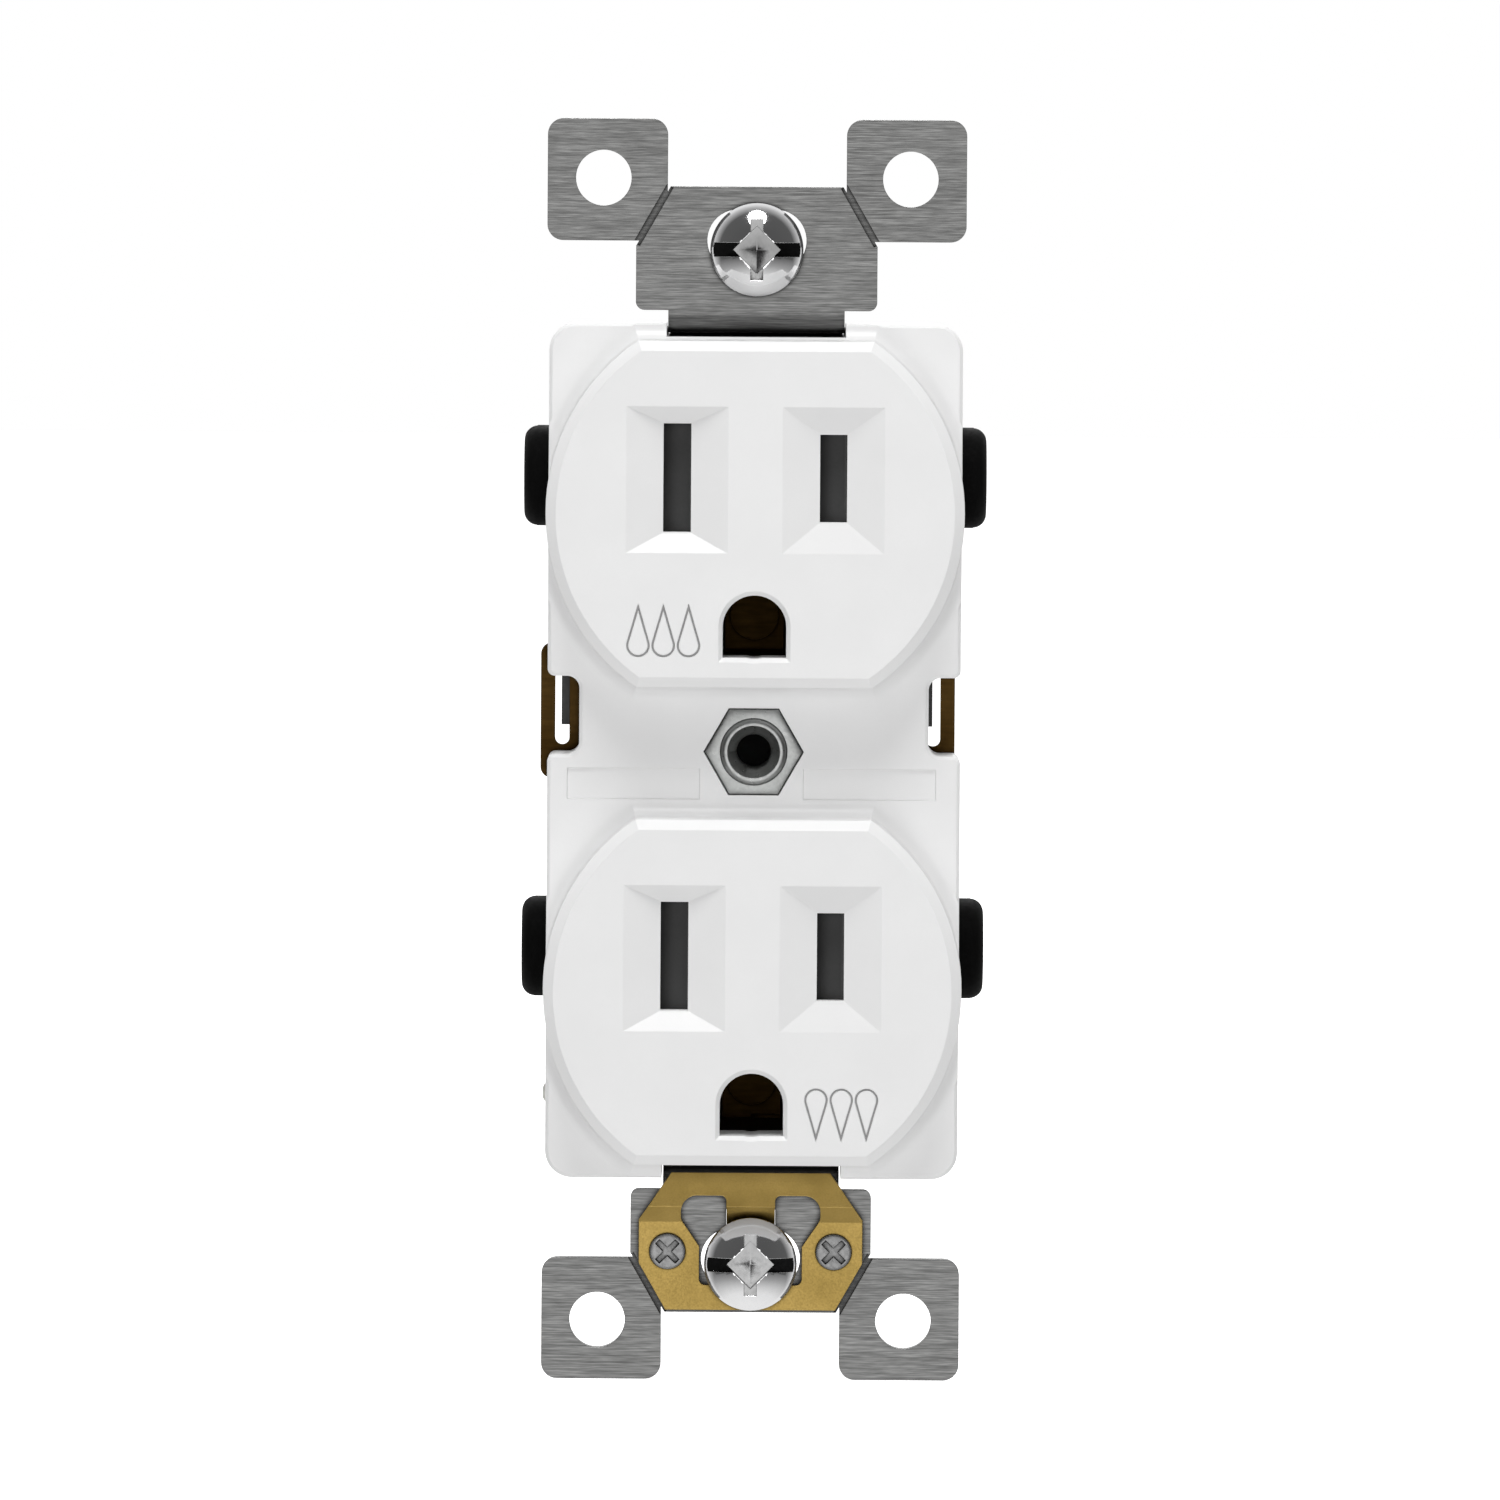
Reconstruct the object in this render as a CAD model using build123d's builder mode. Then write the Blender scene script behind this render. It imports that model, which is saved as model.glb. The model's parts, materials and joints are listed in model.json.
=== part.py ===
"""Duplex wall outlet with a wrap-around strap, as separate pieces in one frame.

Millimetres. X runs across the width, Z up, and Y from front to back: the face looks along -Y.
The origin is on the axis of the centre bushing, in the plane of the strap ears' rear faces.
Both receptacles have their ground opening at the bottom. Hot is on the +X side.
"""

import math
import os

from build123d import *

# Strap: one bent sheet with an ear at each end, a leg down each end of the housing and a rear span
STRAP_T = 1.2
EAR_HALF_W = 17.1
EAR_END_Z = 51.55
WING_IN_X = 7.3
WING_IN_Z = 41.6
PLATE_HALF_W = 9.85
PLATE_IN_Z = 35.95
PLATE_OUT_Z = 46.05
NECK_HALF_W = 7.2
LEG_IN_Z = 34.1
BEND_R = 1.8
SCREW_SLOT_Z = 41.67
SCREW_SLOT = (8.1, 5.05)
EAR_HOLE = (12.53, 46.72)
EAR_HOLE_R = 2.275
SCORE_W = 0.6
SCORE_DEPTH = 0.4
TONGUE_HALF_W = 1.98
TONGUE_WINDOW = 2.0

# Housing
COVER_HALF_W = 16.85
COVER_HALF_H = 34.9
COVER_BASE_Y = -3.4
COVER_REAR_Y = 4.0
COVER_FLOOR_Y = -1.4
FACE_Y = -8.2
FACE_Z = (19.45, -19.45)
FACE_R = 17.1
FACE_FLAT = 14.15
FACE_BEVEL = 0.8
BLEND_R = 1.2
END_NOTCH = (7.3, 33.8)
SIDE_NOTCH_Z = (-0.3, 6.1)
SIDE_NOTCH_X = 14.25
SIDE_NOTCH_R = 1.0
BODY_HALF_W = 16.4
BODY_HALF_H = 34.4
BODY_REAR_Y = 23.0

# Openings of one receptacle, measured from the centre of its raised face
BLADE_X = 6.35
BLADE_Z = 2.96
NEUTRAL_SLOT = (2.25, 8.82)
HOT_SLOT = (2.2, 7.12)
GROUND_Z = -9.13
GROUND_R = 2.58
GROUND_FLAT = 2.5
DISH_Y = FACE_Y + 0.9
DISH_HALF_W = 4.15
DISH_Z = (-3.15, 8.75)
LABEL_Z = (-3.9, -1.4)

# Drops engraved in each raised face: centre X and Z of the middle drop's round end, and its turn
DROPS = ((-7.4, 8.8, 0), (7.3, -28.11, 180))
DROP_R = 0.95
DROP_TIP = 3.4
DROP_STEP = 2.05
GROOVE_W = 0.16
GROOVE_DEPTH = 0.1

# Shutter chamber of one receptacle
CHAMBER_FRONT_Y = -6.0
CHAMBER_HALF_W = 11.6
CHAMBER_Z = (-2.6, 10.9)
SHUTTER_T = 1.5
SHUTTER_FRONT_Y = -5.85
SHUTTER_TRAVEL = 3.0
RETAINER_Y = (-4.2, -2.8)
SPRING_X = (2.0, 10.0)
SPRING_Z = 9.45
SPRING_Y = -5.05
SPRING_R = 0.52
WIRE_R = 0.11

# Contacts and terminals
SHEET = 0.8
RAIL_Y = (4.0, 4.8)
RAIL_X = (8.8, 10.6)
TERMINAL_Z = (22.15, -16.75)
TERMINAL_Y = 10.5
TERMINAL_PLATE_X = (11.6, 12.8)
TERMINAL_HALF = 4.8
WIRE_GAP = 2.3
CLAMP_T = 1.3
CLAMP_HALF_Y = 4.4
CLAMP_HALF_Z = 4.6
SCREW_R = 2.05
HEAD_R = 4.15
HEAD_OUT_X = 19.05
FIN_Z = (-2.55, 8.55)
FIN_SLOT_Z = (0.2, 7.4)
FIN_BAR = 1.18
FIN_OUT_X = {1: 16.5, -1: 17.5}
FIN_RELIEF_X = {1: 14.67, -1: 15.8}
GROUND_PLATE_X = (9.9, 10.7)
GROUND_GAP = 2.1
GROUND_TERMINAL_Z = FACE_Z[1] + GROUND_Z

# Fasteners
ASSEMBLY_X = 13.0
ASSEMBLY_Z = (12.2, -4.9)
ASSEMBLY_R = 1.25
WIRE_HOLE_R = 1.25
REAR_RIVET_Z = (21.5, -9.2)
CLIP_RIVET = (6.8, -41.0)
MOUNT_SCREW_R = 1.75
MOUNT_NECK_R = 1.55
MOUNT_NECK_END_Y = 1.0
MOUNT_HEAD_R = 3.8
WASHER_R = 3.3
MOUNT_SCREW_Z = (40.92, -42.0)
HEX_FLATS = 6.97
BORE_R = 1.4

os.makedirs("parts", exist_ok=True)


def layer(y):
    """Plane facing the front at depth y, with local axes X and Z; extrude moves towards the front."""
    return Plane.XZ.offset(-y)


def upright(x):
    """Plane facing +X at x, with local axes Y and Z."""
    return Plane.YZ.offset(x)


def level(z):
    """Plane facing up at height z, with local axes X and Y."""
    return Plane.XY.offset(z)


def block(x, z):
    """Centre and size of the rectangle between two X limits and two Z limits."""
    centre = ((x[0] + x[1]) / 2, (z[0] + z[1]) / 2)
    return centre, abs(x[1] - x[0]), abs(z[1] - z[0])


def span(x, z, radius=0.0, mode=Mode.ADD):
    """Rectangle between two X limits and two Z limits, in the open sketch."""
    centre, width, height = block(x, z)
    with Locations(centre):
        if radius:
            RectangleRounded(width, height, radius, mode=mode)
        else:
            Rectangle(width, height, mode=mode)


def housing_outline(half_w, half_h, corner):
    """Plan of the housing, with a notch at each end for the strap's legs."""
    RectangleRounded(2 * half_w, 2 * half_h, corner)
    for end in (1, -1):
        span((-END_NOTCH[0], END_NOTCH[0]), (end * END_NOTCH[1], end * (half_h + 1)), mode=Mode.SUBTRACT)


# ---------------------------------------------------------------- strap and its brass clip

with BuildPart() as mounting_strap:
    rear_out = BODY_REAR_Y + STRAP_T
    leg_out = LEG_IN_Z + STRAP_T
    inner_r = BEND_R - STRAP_T
    with BuildSketch(Plane.YZ):
        with BuildLine():
            FilletPolyline(
                (-STRAP_T, EAR_END_Z),
                (-STRAP_T, LEG_IN_Z),
                (BODY_REAR_Y, LEG_IN_Z),
                (BODY_REAR_Y, -LEG_IN_Z),
                (-STRAP_T, -LEG_IN_Z),
                (-STRAP_T, -EAR_END_Z),
                (0, -EAR_END_Z),
                (0, -leg_out),
                (rear_out, -leg_out),
                (rear_out, leg_out),
                (0, leg_out),
                (0, EAR_END_Z),
                radius=(0, BEND_R, inner_r, inner_r, BEND_R, 0, 0, inner_r, BEND_R, BEND_R, inner_r, 0),
                close=True,
            )
        make_face()
    extrude(amount=EAR_HALF_W, both=True)
    with BuildSketch(layer(rear_out)):
        span((-NECK_HALF_W, NECK_HALF_W), (-PLATE_IN_Z - 1, PLATE_IN_Z + 1))
        for end in (1, -1):
            with BuildLine():
                FilletPolyline(
                    (-PLATE_HALF_W, end * PLATE_IN_Z),
                    (-PLATE_HALF_W, end * 41.2),
                    (-WING_IN_X + 0.25, end * PLATE_OUT_Z),
                    (WING_IN_X - 0.25, end * PLATE_OUT_Z),
                    (PLATE_HALF_W, end * 41.2),
                    (PLATE_HALF_W, end * PLATE_IN_Z),
                    radius=(0.7, 0, 0, 0, 0, 0.7),
                    close=True,
                )
            make_face()
            for side in (1, -1):
                wing_x = (side * WING_IN_X, side * EAR_HALF_W)
                span(wing_x, (end * WING_IN_Z, end * EAR_END_Z), radius=1.3)
        for end in (1, -1):
            with Locations((0, end * SCREW_SLOT_Z)):
                SlotOverall(*SCREW_SLOT, mode=Mode.SUBTRACT)
            with Locations(*[(side * EAR_HOLE[0], end * EAR_HOLE[1]) for side in (1, -1)]):
                Circle(EAR_HOLE_R, mode=Mode.SUBTRACT)
        with Locations(*[(side * CLIP_RIVET[0], CLIP_RIVET[1]) for side in (1, -1)]):
            Circle(1.0, mode=Mode.SUBTRACT)
        with Locations(*[(0, z) for z in REAR_RIVET_Z]):
            Circle(1.5, mode=Mode.SUBTRACT)
        # Relief under the clip's tongue
        span((-TONGUE_WINDOW, TONGUE_WINDOW), (-39.4, -37.6), mode=Mode.SUBTRACT)
    extrude(amount=rear_out + 2 * STRAP_T, mode=Mode.INTERSECT)
    # Score lines along which the plaster wings break off
    with BuildSketch(layer(-STRAP_T + SCORE_DEPTH)):
        for end in (1, -1):
            for side in (1, -1):
                with Locations(Location((side * 8.46, end * 43.7), side * end * 29.7)):
                    Rectangle(SCORE_W, 5.5)
    extrude(amount=1.0, mode=Mode.SUBTRACT)
mounting_strap.part.label = "mounting_strap"
export_step(mounting_strap.part, "parts/mounting_strap.step")

CLIP_T = 0.7
CLIP_Y = -STRAP_T - CLIP_T
RIDGE = (-2.35, -37.3)
CLIP_TOP = (-1.75, -34.55)
TONGUE_TIP = (-0.75, -40.1)

with BuildPart() as ground_clip:
    with BuildSketch(Plane.YZ):
        with BuildLine():
            Polyline(
                (CLIP_Y, -45.8),
                (CLIP_Y, -38.6),
                RIDGE,
                CLIP_TOP,
                (CLIP_TOP[0] + 0.68, CLIP_TOP[1] - 0.16),
                (RIDGE[0] + 0.68, RIDGE[1] - 0.16),
                (-STRAP_T, -38.7),
                (-STRAP_T, -45.8),
                close=True,
            )
        make_face()
    extrude(amount=10, both=True)
    with BuildSketch(layer(0)):
        with BuildLine():
            Polyline(
                (-6.95, -45.8),
                (-9.15, -41.95),
                (-9.15, -38.4),
                (-6.5, CLIP_TOP[1]),
                (6.5, CLIP_TOP[1]),
                (9.15, -38.4),
                (9.15, -41.95),
                (6.95, -45.8),
                close=True,
            )
        make_face()
        # Screw opening, a lobe on each side of the tongue, and the gap that the tongue leaves
        span((-4.2, 4.2), (-43.76, -40.0), radius=0.5, mode=Mode.SUBTRACT)
        span((-TONGUE_WINDOW, TONGUE_WINDOW), (-40.6, -37.35), mode=Mode.SUBTRACT)
        for side in (1, -1):
            with BuildLine():
                FilletPolyline(
                    (side * 2.0, -36.4),
                    (side * 5.7, -36.4),
                    (side * 5.7, -38.4),
                    (side * 4.2, -40.6),
                    (side * 2.0, -40.6),
                    radius=(0.45, 1.3, 1.0, 0, 0),
                    close=True,
                )
            make_face(mode=Mode.SUBTRACT)
        with Locations(*[(side * CLIP_RIVET[0], CLIP_RIVET[1]) for side in (1, -1)]):
            Circle(1.0, mode=Mode.SUBTRACT)
    extrude(amount=5, mode=Mode.INTERSECT)
    # Self-grounding tongue, sloping back through the strap to the screw's shank
    with BuildSketch(Plane.YZ):
        with BuildLine():
            Polyline(
                RIDGE,
                TONGUE_TIP,
                (TONGUE_TIP[0] + 0.608, TONGUE_TIP[1] + 0.347),
                (RIDGE[0] + 0.608, RIDGE[1] + 0.347),
                close=True,
            )
        make_face()
    extrude(amount=TONGUE_HALF_W, both=True)
ground_clip.part.label = "ground_clip"
export_step(ground_clip.part, "parts/ground_clip.step")

with BuildPart() as ground_clip_rivets:
    for side in (1, -1):
        with Locations(Location((side * CLIP_RIVET[0], 0, CLIP_RIVET[1]), (90, 0, 0))):
            Cylinder(0.98, -CLIP_Y, align=(Align.CENTER, Align.CENTER, Align.MIN))
        with BuildSketch(layer(CLIP_Y)):
            with Locations((side * CLIP_RIVET[0], CLIP_RIVET[1])):
                Circle(1.5)
        extrude(amount=0.35)
    heads = ground_clip_rivets.faces().sort_by(Axis.Y)[:2]
    fillet(heads.edges(), 0.2)
ground_clip_rivets.part.label = "ground_clip_rivets"
export_step(ground_clip_rivets.part, "parts/ground_clip_rivets.step")

with BuildPart() as rear_strap_rivets:
    for z in REAR_RIVET_Z:
        with BuildSketch(level(z)):
            with BuildLine():
                FilletPolyline(
                    (0, 21.4),
                    (2.2, 21.4),
                    (2.2, 22.3),
                    (1.46, 22.3),
                    (1.46, 24.2),
                    (2.6, 24.2),
                    (2.6, 25.1),
                    (0, 25.1),
                    radius=(0, 0, 0, 0, 0, 0, 0.6, 0),
                    close=True,
                )
            make_face()
        revolve(axis=Axis((0, 0, z), (0, 1, 0)))
rear_strap_rivets.part.label = "rear_strap_rivets"
export_step(rear_strap_rivets.part, "parts/rear_strap_rivets.step")

# ---------------------------------------------------------------- front cover


def cover_outline():
    """Plan of the front cover, with a rounded notch at each side for a break-off fin."""
    housing_outline(COVER_HALF_W, COVER_HALF_H, 2.2)
    for side in (1, -1):
        span((side * SIDE_NOTCH_X, side * 18), SIDE_NOTCH_Z, radius=SIDE_NOTCH_R, mode=Mode.SUBTRACT)


def plinth_section(plane, foot, both_sides):
    """Section of the low plinth under a raised face, with a concave blend from the base up to its wall."""
    out = foot + BLEND_R
    low = COVER_BASE_Y + 0.2
    high = COVER_BASE_Y - BLEND_R
    bulge = BLEND_R * (1 - 0.5**0.5)
    with BuildSketch(plane) as section:
        with BuildLine():
            ThreePointArc((foot, high), (foot + bulge, COVER_BASE_Y - bulge), (out, COVER_BASE_Y))
            Polyline((out, COVER_BASE_Y), (out, low), (0, low), (0, high), (foot, high))
        make_face()
        if both_sides:
            mirror(about=Plane.YZ)
    return section.sketch


def face_plinth(z):
    """Plinth of the raised face centred at z: round at the sides, flat at the top and bottom."""
    with BuildPart() as plinth:
        revolve(plinth_section(level(z), FACE_R, False), axis=Axis((0, 0, z), (0, 1, 0)))
        # Local axes Z and Y, so that the section is measured along Z
        side_plane = Plane((-20, 0, z), x_dir=(0, 0, 1), z_dir=(-1, 0, 0))
        extrude(plinth_section(side_plane, FACE_FLAT, True), amount=-40, mode=Mode.INTERSECT)
    return plinth


def drop_groove():
    """Narrow groove along the outline of a drop, its tip up and the centre of its round end at the origin."""
    lean = math.asin(DROP_R / DROP_TIP)
    side = (DROP_R * math.cos(lean), DROP_R * math.sin(lean))
    with BuildSketch() as groove:
        with BuildLine():
            ThreePointArc(side, (0, -DROP_R), (-side[0], side[1]))
            Polyline((-side[0], side[1]), (0, DROP_TIP), side)
        make_face()
        offset(amount=-GROOVE_W, mode=Mode.SUBTRACT)
    return groove.sketch


with BuildPart() as face_plinths:
    for z in FACE_Z:
        add(face_plinth(z).part)
    with BuildSketch(layer(0)):
        cover_outline()
    extrude(amount=10, mode=Mode.INTERSECT)

with BuildPart() as front_cover:
    with BuildSketch(layer(COVER_REAR_Y)):
        cover_outline()
    extrude(amount=COVER_REAR_Y - COVER_BASE_Y)
    notch_corners = front_cover.edges().filter_by(Axis.Y).filter_by_position(Axis.Z, -1, 7)
    fillet(notch_corners.filter_by(lambda edge: abs(edge.center().X) > COVER_HALF_W - 0.1), 0.6)
    chamfer(front_cover.faces().sort_by(Axis.Y)[0].edges(), 0.25)
    for z in FACE_Z:
        with BuildSketch(layer(COVER_BASE_Y + 0.4)):
            with Locations((0, z)):
                Circle(FACE_R)
            span((-20, 20), (z - FACE_FLAT, z + FACE_FLAT), mode=Mode.INTERSECT)
        extrude(amount=COVER_BASE_Y + 0.4 - FACE_Y, taper=1.0)
    chamfer(front_cover.faces().sort_by(Axis.Y)[:2].edges(), FACE_BEVEL)
    add(face_plinths.part)
    # Hollow from the rear, leaving the bushing's boss, the screw bosses and the notch walls
    with BuildSketch(layer(COVER_REAR_Y)):
        RectangleRounded(30, 64.4, 2)
        for side in (1, -1):
            span((side * 12.6, side * 16), (SIDE_NOTCH_Z[0] - 1.7, SIDE_NOTCH_Z[1] + 1.7), mode=Mode.SUBTRACT)
            with Locations(*[(side * ASSEMBLY_X, z) for z in ASSEMBLY_Z]):
                Circle(2.6, mode=Mode.SUBTRACT)
        Circle(6.6, mode=Mode.SUBTRACT)
    extrude(amount=COVER_REAR_Y - COVER_FLOOR_Y, mode=Mode.SUBTRACT)
    with BuildSketch(layer(COVER_REAR_Y)):
        for side in (1, -1):
            with Locations(*[(side * ASSEMBLY_X, z) for z in ASSEMBLY_Z]):
                Circle(ASSEMBLY_R + 0.05)
    extrude(amount=COVER_REAR_Y + 2.2, mode=Mode.SUBTRACT)
    # Hexagonal seat of the bushing, with room for its flange behind
    with BuildSketch(layer(COVER_REAR_Y)):
        RegularPolygon((HEX_FLATS + 0.12) / 2, 6, major_radius=False)
    extrude(amount=10, mode=Mode.SUBTRACT)
    with BuildSketch(layer(COVER_REAR_Y)):
        Circle(5.1)
    extrude(amount=2.0, mode=Mode.SUBTRACT)
    for z in FACE_Z:
        # Shutter chamber, and the ledge that its retainer sits on
        with BuildSketch(layer(RETAINER_Y[0])):
            span((-CHAMBER_HALF_W, CHAMBER_HALF_W), (z + CHAMBER_Z[0], z + CHAMBER_Z[1]), radius=2)
        extrude(amount=RETAINER_Y[0] - CHAMBER_FRONT_Y, mode=Mode.SUBTRACT)
        with BuildSketch(layer(COVER_FLOOR_Y)):
            span((-12.6, 12.6), (z - 3.7, z + 11.9), radius=4)
        extrude(amount=COVER_FLOOR_Y - RETAINER_Y[0], mode=Mode.SUBTRACT)
        # Dished recess around each blade slot: four slopes from the face down to the slot
        for side, slot in ((-1, NEUTRAL_SLOT), (1, HOT_SLOT)):
            with BuildSketch(layer(FACE_Y)):
                span((side * BLADE_X - DISH_HALF_W, side * BLADE_X + DISH_HALF_W), (z + DISH_Z[0], z + DISH_Z[1]))
            with BuildSketch(layer(DISH_Y)):
                with Locations((side * BLADE_X, z + BLADE_Z)):
                    Rectangle(slot[0] + 0.2, slot[1] + 0.2)
            loft(mode=Mode.SUBTRACT)
        # Blade slots and ground opening
        with BuildSketch(layer(COVER_FLOOR_Y)):
            with Locations((-BLADE_X, z + BLADE_Z)):
                Rectangle(*NEUTRAL_SLOT)
            with Locations((BLADE_X, z + BLADE_Z)):
                Rectangle(*HOT_SLOT)
            with Locations((0, z + GROUND_Z)):
                Circle(GROUND_R)
            span((-GROUND_R, GROUND_R), (z + GROUND_Z - GROUND_FLAT, z + GROUND_Z))
        extrude(amount=COVER_FLOOR_Y - FACE_Y + 1, mode=Mode.SUBTRACT)
        rim = front_cover.edges().filter_by_position(Axis.Y, FACE_Y - 0.01, FACE_Y + 0.01)
        rim = rim.filter_by_position(Axis.X, -GROUND_R - 0.1, GROUND_R + 0.1)
        rim = rim.filter_by_position(Axis.Z, z + GROUND_Z - 2.7, z + GROUND_Z + 2.7)
        chamfer(rim, 0.35)
    # Shallow label panels between the two receptacles
    with BuildSketch(layer(COVER_BASE_Y + 0.15)):
        span((-15.2, -4.4), LABEL_Z)
        span((4.06, 14.86), LABEL_Z)
    extrude(amount=1, mode=Mode.SUBTRACT)
    with BuildSketch(layer(FACE_Y + GROOVE_DEPTH)):
        for x, z, turn in DROPS:
            with Locations(*[Location((x + step * DROP_STEP, z), turn) for step in (-1, 0, 1)]):
                add(drop_groove())
    extrude(amount=1, mode=Mode.SUBTRACT)
front_cover.part.label = "front_cover"
export_step(front_cover.part, "parts/front_cover.step")

# ---------------------------------------------------------------- back body

with BuildPart() as back_body:
    with BuildSketch(layer(BODY_REAR_Y)):
        housing_outline(BODY_HALF_W, BODY_HALF_H, 1.5)
        # Open strip behind each break-off fin
        for side in (1, -1):
            span((side * 14.0, side * 18), (-1.2, 1.8), mode=Mode.SUBTRACT)
            span((side * FIN_RELIEF_X[side], side * 18), (1.6, 7.6), mode=Mode.SUBTRACT)
    extrude(amount=BODY_REAR_Y - COVER_REAR_Y)
    with BuildSketch(layer(COVER_REAR_Y)):
        Circle(4.5)
    extrude(amount=0.6)
    chamfer(back_body.faces().sort_by(Axis.Y)[-1].edges(), 0.4)
    # Channels of the contact rails and their fins in the front face
    with BuildSketch(layer(RAIL_Y[1] + 0.15)):
        for side in (1, -1):
            span((side * 7.3, side * 12.95), (-21.8, 27.2))
            span((side * 8, side * 18), (FIN_Z[0] - 0.2, FIN_Z[1] + 0.2))
    extrude(amount=0.95, mode=Mode.SUBTRACT)
    # Wells of the blade contacts and the ground contacts
    with BuildSketch(layer(14.2)):
        for z in FACE_Z:
            for side in (1, -1):
                span((side * 3.8, side * 9.2), (z + BLADE_Z - 4.1, z + BLADE_Z + 4.1))
    extrude(amount=15, mode=Mode.SUBTRACT)
    with BuildSketch(layer(BODY_REAR_Y)):
        for z in FACE_Z:
            span((-3.9, 3.9), (z + GROUND_Z - 3.1, z + GROUND_Z + 3.1))
    extrude(amount=25, mode=Mode.SUBTRACT)
    with BuildSketch(layer(16)):
        Circle(2)
    extrude(amount=15, mode=Mode.SUBTRACT)
    # Rear channel of the ground bus, the tails of its rivets and the foot of the ground terminal
    with BuildSketch(layer(BODY_REAR_Y)):
        span((-3.3, 3.3), (-32.3, 25.3))
    extrude(amount=0.75, mode=Mode.SUBTRACT)
    with BuildSketch(layer(BODY_REAR_Y)):
        with Locations(*[(0, z) for z in REAR_RIVET_Z]):
            Circle(2.4)
        span((-11.0, 3.9), (GROUND_TERMINAL_Z - 4.6, GROUND_TERMINAL_Z + 4.6))
    extrude(amount=1.75, mode=Mode.SUBTRACT)
    with BuildSketch(layer(BODY_REAR_Y)):
        span((-GROUND_PLATE_X[1] - 0.2, -GROUND_PLATE_X[0] + 0.2), (GROUND_TERMINAL_Z - 4.6, GROUND_TERMINAL_Z + 4.6))
    extrude(amount=BODY_REAR_Y - 5.5, mode=Mode.SUBTRACT)
    # Terminal pockets, open to the side, with room for the screw's tip behind the plate
    for side in (1, -1):
        with BuildSketch(upright(side * (TERMINAL_PLATE_X[0] - 0.1))):
            for z in TERMINAL_Z:
                span((5.7, 15.4), (z - 5.0, z + 5.0))
        extrude(amount=side * 8, mode=Mode.SUBTRACT)
        with BuildSketch(upright(side * 9.0)):
            for z in TERMINAL_Z:
                with Locations((TERMINAL_Y, z)):
                    Circle(2.4)
        extrude(amount=side * 3, mode=Mode.SUBTRACT)
        # Rail end of each terminal plate
        with BuildSketch(layer(6)):
            for z in TERMINAL_Z:
                span((side * (TERMINAL_PLATE_X[0] - 0.1), side * 12.95), (z - 5.0, z + 5.0))
        extrude(amount=3, mode=Mode.SUBTRACT)
    with BuildSketch(upright(-GROUND_PLATE_X[0])):
        span((5.5, 15.4), (GROUND_TERMINAL_Z - 4.8, GROUND_TERMINAL_Z + 4.8))
    extrude(amount=-8, mode=Mode.SUBTRACT)
    with BuildSketch(upright(-7.3)):
        with Locations((TERMINAL_Y, GROUND_TERMINAL_Z)):
            Circle(2.4)
    extrude(amount=-3, mode=Mode.SUBTRACT)
    # Wire holes from the rear into each clamp, and the assembly screws' holes
    with BuildSketch(layer(BODY_REAR_Y)):
        for offset in (3.3, -3.3):
            for side in (1, -1):
                with Locations(*[(side * (TERMINAL_PLATE_X[1] + WIRE_GAP / 2), z + offset) for z in TERMINAL_Z]):
                    Circle(WIRE_HOLE_R)
            with Locations((-GROUND_PLATE_X[1] - GROUND_GAP / 2, GROUND_TERMINAL_Z + offset)):
                Circle(WIRE_HOLE_R)
    extrude(amount=8, mode=Mode.SUBTRACT)
    for radius, depth in ((ASSEMBLY_R + 0.15, 30), (2.7, 1.8)):
        with BuildSketch(layer(BODY_REAR_Y)):
            for side in (1, -1):
                with Locations(*[(side * ASSEMBLY_X, z) for z in ASSEMBLY_Z]):
                    Circle(radius)
        extrude(amount=depth, mode=Mode.SUBTRACT)
back_body.part.label = "back_body"
export_step(back_body.part, "parts/back_body.step")

with BuildPart() as plate_screw_bushing:
    with BuildSketch(layer(2.0)):
        RegularPolygon(HEX_FLATS / 2, 6, major_radius=False)
    extrude(amount=2.0 - COVER_BASE_Y)
    chamfer(plate_screw_bushing.faces().sort_by(Axis.Y)[0].edges(), 0.15)
    with BuildSketch(Plane.XY):
        with BuildLine():
            Polyline((0, 3.4), (5.0, 3.4), (5.0, 2.0), (2.75, 2.0), (2.75, COVER_BASE_Y - 0.1))
            ThreePointArc((2.75, COVER_BASE_Y - 0.1), (2.5, COVER_BASE_Y - 0.35), (2.15, COVER_BASE_Y - 0.4))
            Polyline((2.15, COVER_BASE_Y - 0.4), (0, COVER_BASE_Y - 0.4), (0, 3.4))
        make_face()
    revolve(axis=Axis.Y)
    with BuildSketch(Plane.XY):
        with BuildLine():
            Polyline(
                (0, COVER_BASE_Y - 1),
                (2.1, COVER_BASE_Y - 1),
                (2.1, COVER_BASE_Y - 0.3),
                (BORE_R, COVER_BASE_Y + 0.5),
                (BORE_R, 4),
                (0, 4),
                close=True,
            )
        make_face()
    revolve(axis=Axis.Y, mode=Mode.SUBTRACT)
plate_screw_bushing.part.label = "plate_screw_bushing"
export_step(plate_screw_bushing.part, "parts/plate_screw_bushing.step")

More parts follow.
